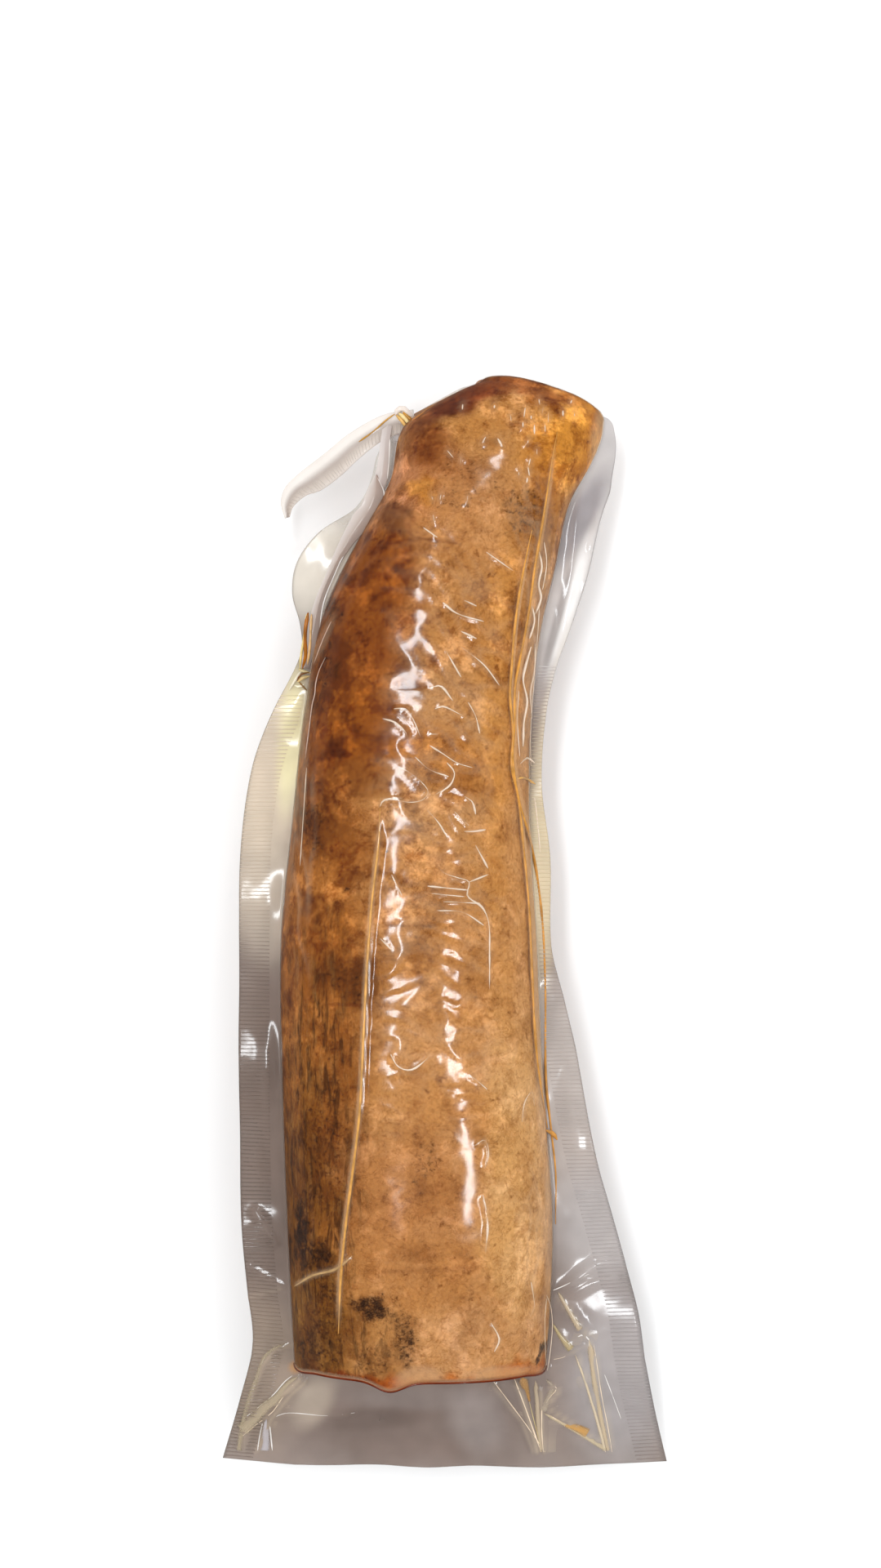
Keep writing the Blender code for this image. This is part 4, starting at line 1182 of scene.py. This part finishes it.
def film_slivers(top, material):
    """The tail's flat folds, each a narrow strip of film that tapers where it begins."""
    vertices, faces, tints, hazes = [], [], [], []
    for sliver in SLIVERS:
        middle = top.line(sliver.line, THREAD_SPACING)
        share = np.linspace(0, 1, len(middle))
        width = sliver.first_width + (sliver.last_width - sliver.first_width) * share
        width = width / PIXELS_PER_MM * (SLIVER_POINT + (1 - SLIVER_POINT) * ease(share / SLIVER_TAPER))
        along = np.gradient(middle[:, :2], axis=0)
        along /= np.linalg.norm(along, axis=1, keepdims=True)
        t = np.linspace(-1, 1, SLIVER_COLUMNS)
        aside = np.stack([along[:, 1], -along[:, 0]], -1)[:, None] * (width[:, None] / 2 * t)[..., None]
        upper = np.dstack([middle[:, None, :2] + aside, middle[:, None, 2] + SLIVER_LIFT * (1.4 - np.abs(t))])
        rows = np.concatenate([upper, upper[:, ::-1] - (0, 0, SLIVER_LIFT)], axis=1)
        first = sum(len(part) for part in vertices)
        strip = sheet_faces(len(rows), SLIVER_COLUMNS, 2 * SLIVER_COLUMNS)
        faces += [tuple(first + v for v in face) for face in strip]
        vertices.append(rows.reshape(-1, 3))
        tints += [linear(sliver.colour)] * len(vertices[-1])
        fade = np.concatenate([SLIVER_FADE, SLIVER_FADE]) * sliver.haze
        hazes += np.broadcast_to(fade, rows.shape[:2]).ravel().tolist()
    piece = make_piece("film_slivers", np.concatenate(vertices), faces, material)
    paint_colour(piece, "film_tint", tints)
    paint_value(piece, "haze", hazes)
    return piece


# The heat seal's fine ribs are really 0.74 mm apart and are drawn 0.9 mm apart so that they show.
RIB_PITCH = 0.9
RIB_RADIUS, CORNER_RIB_RADIUS = 0.13, 0.09
RIB_HAZE, CORNER_RIB_HAZE = 0.7, 0.6
RIB_BAND = 7.0  # how far in from the edge the ribs reach
RIB_INNER, RIB_OUTER = 0.12, 0.985  # shares of the margin that they keep within
RIB_POINTS, RIB_SIDES = 4, 5
RIB_LIFT, CORNER_RIB_LIFT = 0.02, 0.01
RIB_LIGHTER = 1.12  # than the film that they are on
SEAL_FIRST, SEAL_LAST = CUT - TAIL + 0.8, TIP - 6.0
LOBE = (52.0, 118.0)  # from where to where the left margin is a plain lobe
RIGHT_SEAL_END = 60.0


def seal_ribs(material):
    """Fine ribs across the heat seals along both sides of the pouch, but for its plain lobe."""
    chains = []
    for station in np.arange(SEAL_FIRST, SEAL_LAST, RIB_PITCH):
        stretch = Stretch([station])
        for side in (-1, 1):
            if (side < 0 and LOBE[0] < station < LOBE[1]) or (side > 0 and station > RIGHT_SEAL_END):
                continue
            inner = np.clip(1 - RIB_BAND / stretch.margin_width(side)[0], RIB_INNER, 1.0)
            line = stretch.margin(np.linspace(inner, RIB_OUTER, RIB_POINTS), side, 1)[0]
            line[:, 2] += flat_relief(line, pixels_of(line))[0] + RIB_LIFT
            chains.append(line)
    middles = pixels_of(np.array([chain[RIB_POINTS // 2] for chain in chains]))
    colours = patch_colours(middles, FILM_GREY, FREE_FILM_PATCHES, 1.0) * RIB_LIGHTER * FILM_SHADE
    return swept_piece("seal_ribs", chains, [1.0] * len(chains), colours, RIB_HAZE, RIB_RADIUS,
                       RIB_SIDES, material)


RIBBON_ROWS, RIBBON_COLUMNS = 60, 16


def ribbon(outer, inner, heights, fold):
    """A narrow folded strip of film between two lines in millimetres, as a closed tube of points."""
    shares = np.linspace(0, 1, RIBBON_ROWS)
    knots = np.linspace(0, 1, len(heights))
    sides = [np.stack([smooth(knots, [p[a] for p in line], shares) for a in range(2)], -1)
             for line in (inner, outer)]
    t = np.linspace(0, 1, RIBBON_COLUMNS)
    place = sides[0][:, None] + (sides[1] - sides[0])[:, None] * t[None, :, None]
    z = smooth(knots, heights, shares)[:, None] + fold * (1 - np.abs(2 * t - 1))[None, :] ** 1.4
    upper = np.dstack([place, z + FILM / 2])
    upper[..., 2] += roughened(upper * (1, 1, 0), FOLDED_FILM_ROUGH)
    return np.concatenate([upper, upper[:, ::-1] - (0, 0, FILM)], axis=1)


def ribbon_piece(name, points, colours, haze, material):
    """A strip of film with colours from its inner to its outer line."""
    piece = make_piece(name, points, sheet_faces(points.shape[0], RIBBON_COLUMNS, points.shape[1]), material)
    stops = np.array([linear(colour) for colour in colours])
    t = np.linspace(0, 1, RIBBON_COLUMNS)
    across = np.stack([np.interp(t, np.linspace(0, 1, len(stops)), stops[:, c]) for c in range(3)], -1)
    tints = np.broadcast_to(np.concatenate([across, across[::-1]]), points.shape)
    paint_colour(piece, "film_tint", tints)
    paint_value(piece, "haze", np.full(points.shape[:2], haze))
    return piece


def corner_ribs(points, material):
    """Ribs on the folded corner, from its inner edge to its fold."""
    upper = points[:, :RIBBON_COLUMNS]
    middle = upper[:, RIBBON_COLUMNS // 2]
    travelled = np.r_[0, np.cumsum(np.linalg.norm(np.diff(middle, axis=0), axis=1))]
    picked = np.searchsorted(travelled, np.arange(3.0, travelled[-1] - 1.0, RIB_PITCH))
    chains = [upper[row, 1 : RIBBON_COLUMNS // 2 - 1] + (0, 0, CORNER_RIB_LIFT) for row in picked]
    colours = [linear(CORNER_RIB_COLOUR)] * len(chains)
    return swept_piece("corner_ribs", chains, [1.0] * len(chains), colours, CORNER_RIB_HAZE,
                       CORNER_RIB_RADIUS, RIB_SIDES, material)


# The strip of film that folds over in front of the left margin: down from the knot, then on to the pinch.
# Its outer and inner line in pixels, its heights, and its colours from the inner to the outer line.
STRIPS = {
    "folded_strip_1": (
        ((469, 523), (466, 544), (464, 561), (460, 580), (452, 598)),
        ((481, 520), (478, 540), (477, 563), (475, 586), (470, 600)),
        (22.0, 23.6, 24.4, 24.9, 25.1), ("#b9aca6", "#d2c8c3")),
    "folded_strip_2": (
        ((460, 581), (450, 601), (443, 618), (432, 632), (415, 666), (400, 702), (386, 736), (375, 776),
         (368, 817)),
        ((463, 582), (470, 603), (467, 623), (457, 640), (432, 668), (411, 702), (397, 738), (391, 778),
         (379, 819)),
        (25.2, 25.7, 26.0, 26.2, 26.5, 26.3, 25.8, 25.2, 24.2), ("#a08e84", "#b5a49a", "#d3c9c3")),
}
STRIP_FOLD = 0.5  # how far its fold stands up, in millimetres
STRIP_HAZE, CORNER_HAZE = 0.86, 0.78
# The folded corner from its inner to its outer edge: its outer facet painted lighter and its inner facet
# darker, partly painted light and shade on the two sides of the fold, with a darker line along the fold.
CORNER_LIT_AND_SHADED_COLOURS = ("#e2d8d0", "#d2c6bc", "#b5a8a0", "#eae3dd", "#e6ded7")
CORNER_RIB_COLOUR = "#dcd1c8"


FLOOR_SIZE = 3.0
FLOOR_WHITE, FLOOR_IN_GLOSS = "#f6f6f6", "#6c6c6c"
ROOM_LIGHT = 1.10
ROOM_IN_GLOSS = 0.07
LAMP_HEIGHT = 900.0
LAMP_COLOUR = (0.93, 0.97, 1.0)
# Lamps: place, width and length in millimetres, and radiance.
LAMPS = {
    "lamp_left": (-150.0, 170.0, 80.0, 520.0, 21.0),
    "lamp_right": (470.0, -120.0, 110.0, 200.0, 22.0),
    "lamp_far": (180.0, 800.0, 90.0, 120.0, 22.0),
}


def make_stage():
    """A plain pale floor, soft light from all round and a few lamps overhead."""
    mesh = bpy.data.meshes.new("floor")
    corners = [(x * FLOOR_SIZE, y * FLOOR_SIZE, 0) for x, y in ((-1, -1), (1, -1), (1, 1), (-1, 1))]
    mesh.from_pydata(corners, [], [(0, 1, 2, 3)])
    material, tree = new_material("matt white paper")
    mirrored = add(tree, "ShaderNodeLightPath").outputs["Is Glossy Ray"]
    paper = add(tree, "ShaderNodeMix", {0: mirrored, 6: rgba(FLOOR_WHITE), 7: rgba(FLOOR_IN_GLOSS)},
                data_type="RGBA")
    shader = add(tree, "ShaderNodeBsdfDiffuse", {"Color": paper.outputs[2]})
    add(tree, "ShaderNodeOutputMaterial", {"Surface": shader.outputs[0]})
    mesh.materials.append(material)
    floor = bpy.data.objects.new("floor", mesh)
    bpy.context.scene.collection.objects.link(floor)

    world = bpy.data.worlds.new("soft room")
    world.use_nodes = True
    tree = world.node_tree
    tree.nodes.clear()
    mirrored = add(tree, "ShaderNodeLightPath").outputs["Is Glossy Ray"]
    strength = add(tree, "ShaderNodeMath", {0: mirrored, 1: ROOM_IN_GLOSS - ROOM_LIGHT, 2: ROOM_LIGHT},
                   operation="MULTIPLY_ADD")
    room = add(tree, "ShaderNodeBackground", {"Color": WHITE, "Strength": strength.outputs[0]})
    add(tree, "ShaderNodeOutputWorld", {"Surface": room.outputs[0]})
    bpy.context.scene.world = world

    for name, (x, y, width, length, radiance) in LAMPS.items():
        light = bpy.data.lights.new(name, "AREA")
        light.shape = "RECTANGLE"
        light.size, light.size_y = width * MM, length * MM
        light.energy = radiance * math.pi * width * length * MM * MM
        light.color = LAMP_COLOUR
        lamp = bpy.data.objects.new(name, light)
        lamp.location = Vector((x + FRAME_SHIFT[0], y + FRAME_SHIFT[1], LAMP_HEIGHT)) * MM
        lamp.visible_camera = False
        bpy.context.scene.collection.objects.link(lamp)


def make_camera():
    """The camera straight over the pack, as in the photograph."""
    data = bpy.data.cameras.new("camera")
    data.sensor_width = SENSOR
    data.lens = SENSOR * FOCAL_PIXELS / IMAGE_HEIGHT
    data.clip_start, data.clip_end = 0.01, 10.0
    camera = bpy.data.objects.new("camera", data)
    camera.location = (Vector(CAMERA_PLACE) + Vector(FRAME_SHIFT)) * MM
    bpy.context.scene.collection.objects.link(camera)
    bpy.context.scene.camera = camera


def main():
    """Builds the stage, the sausage and every piece of the pouch, and hands them over."""
    bpy.context.scene.view_settings.view_transform = "Standard"
    make_camera()
    make_stage()
    film = film_material()
    oil = oil_material()
    sausage = sausage_piece()
    pouch, shown_side = pouch_piece(film)
    top = FilmTop(shown_side)
    corner_points = ribbon(CORNER_OUTER, CORNER_INNER, CORNER_HEIGHTS, CORNER_FOLD)
    strips = []
    for name, (outer, inner, heights, colours) in STRIPS.items():
        lines = [[place_at(pixel, height) for pixel, height in zip(line, heights)] for line in (outer, inner)]
        strips.append(ribbon_piece(name, ribbon(*lines, heights, STRIP_FOLD), colours, STRIP_HAZE, film))
    film_pieces = [
        pouch,
        *strips,
        ribbon_piece("folded_corner", corner_points, CORNER_LIT_AND_SHADED_COLOURS, CORNER_HAZE, film),
        corner_ribs(corner_points, film),
        seal_ribs(film),
        *film_folds_and_glints(top, film),
        film_slivers(top, film),
        cut_rim(oil),
        threads("oil_threads", top, OIL_THREADS, oil, haze=1.0, unevenness=0.35),
    ]
    for piece, slot in ((sausage, "chorizo"), *((piece, "film") for piece in film_pieces)):
        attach(piece, "root")
        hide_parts("vacuum_pack")


main()
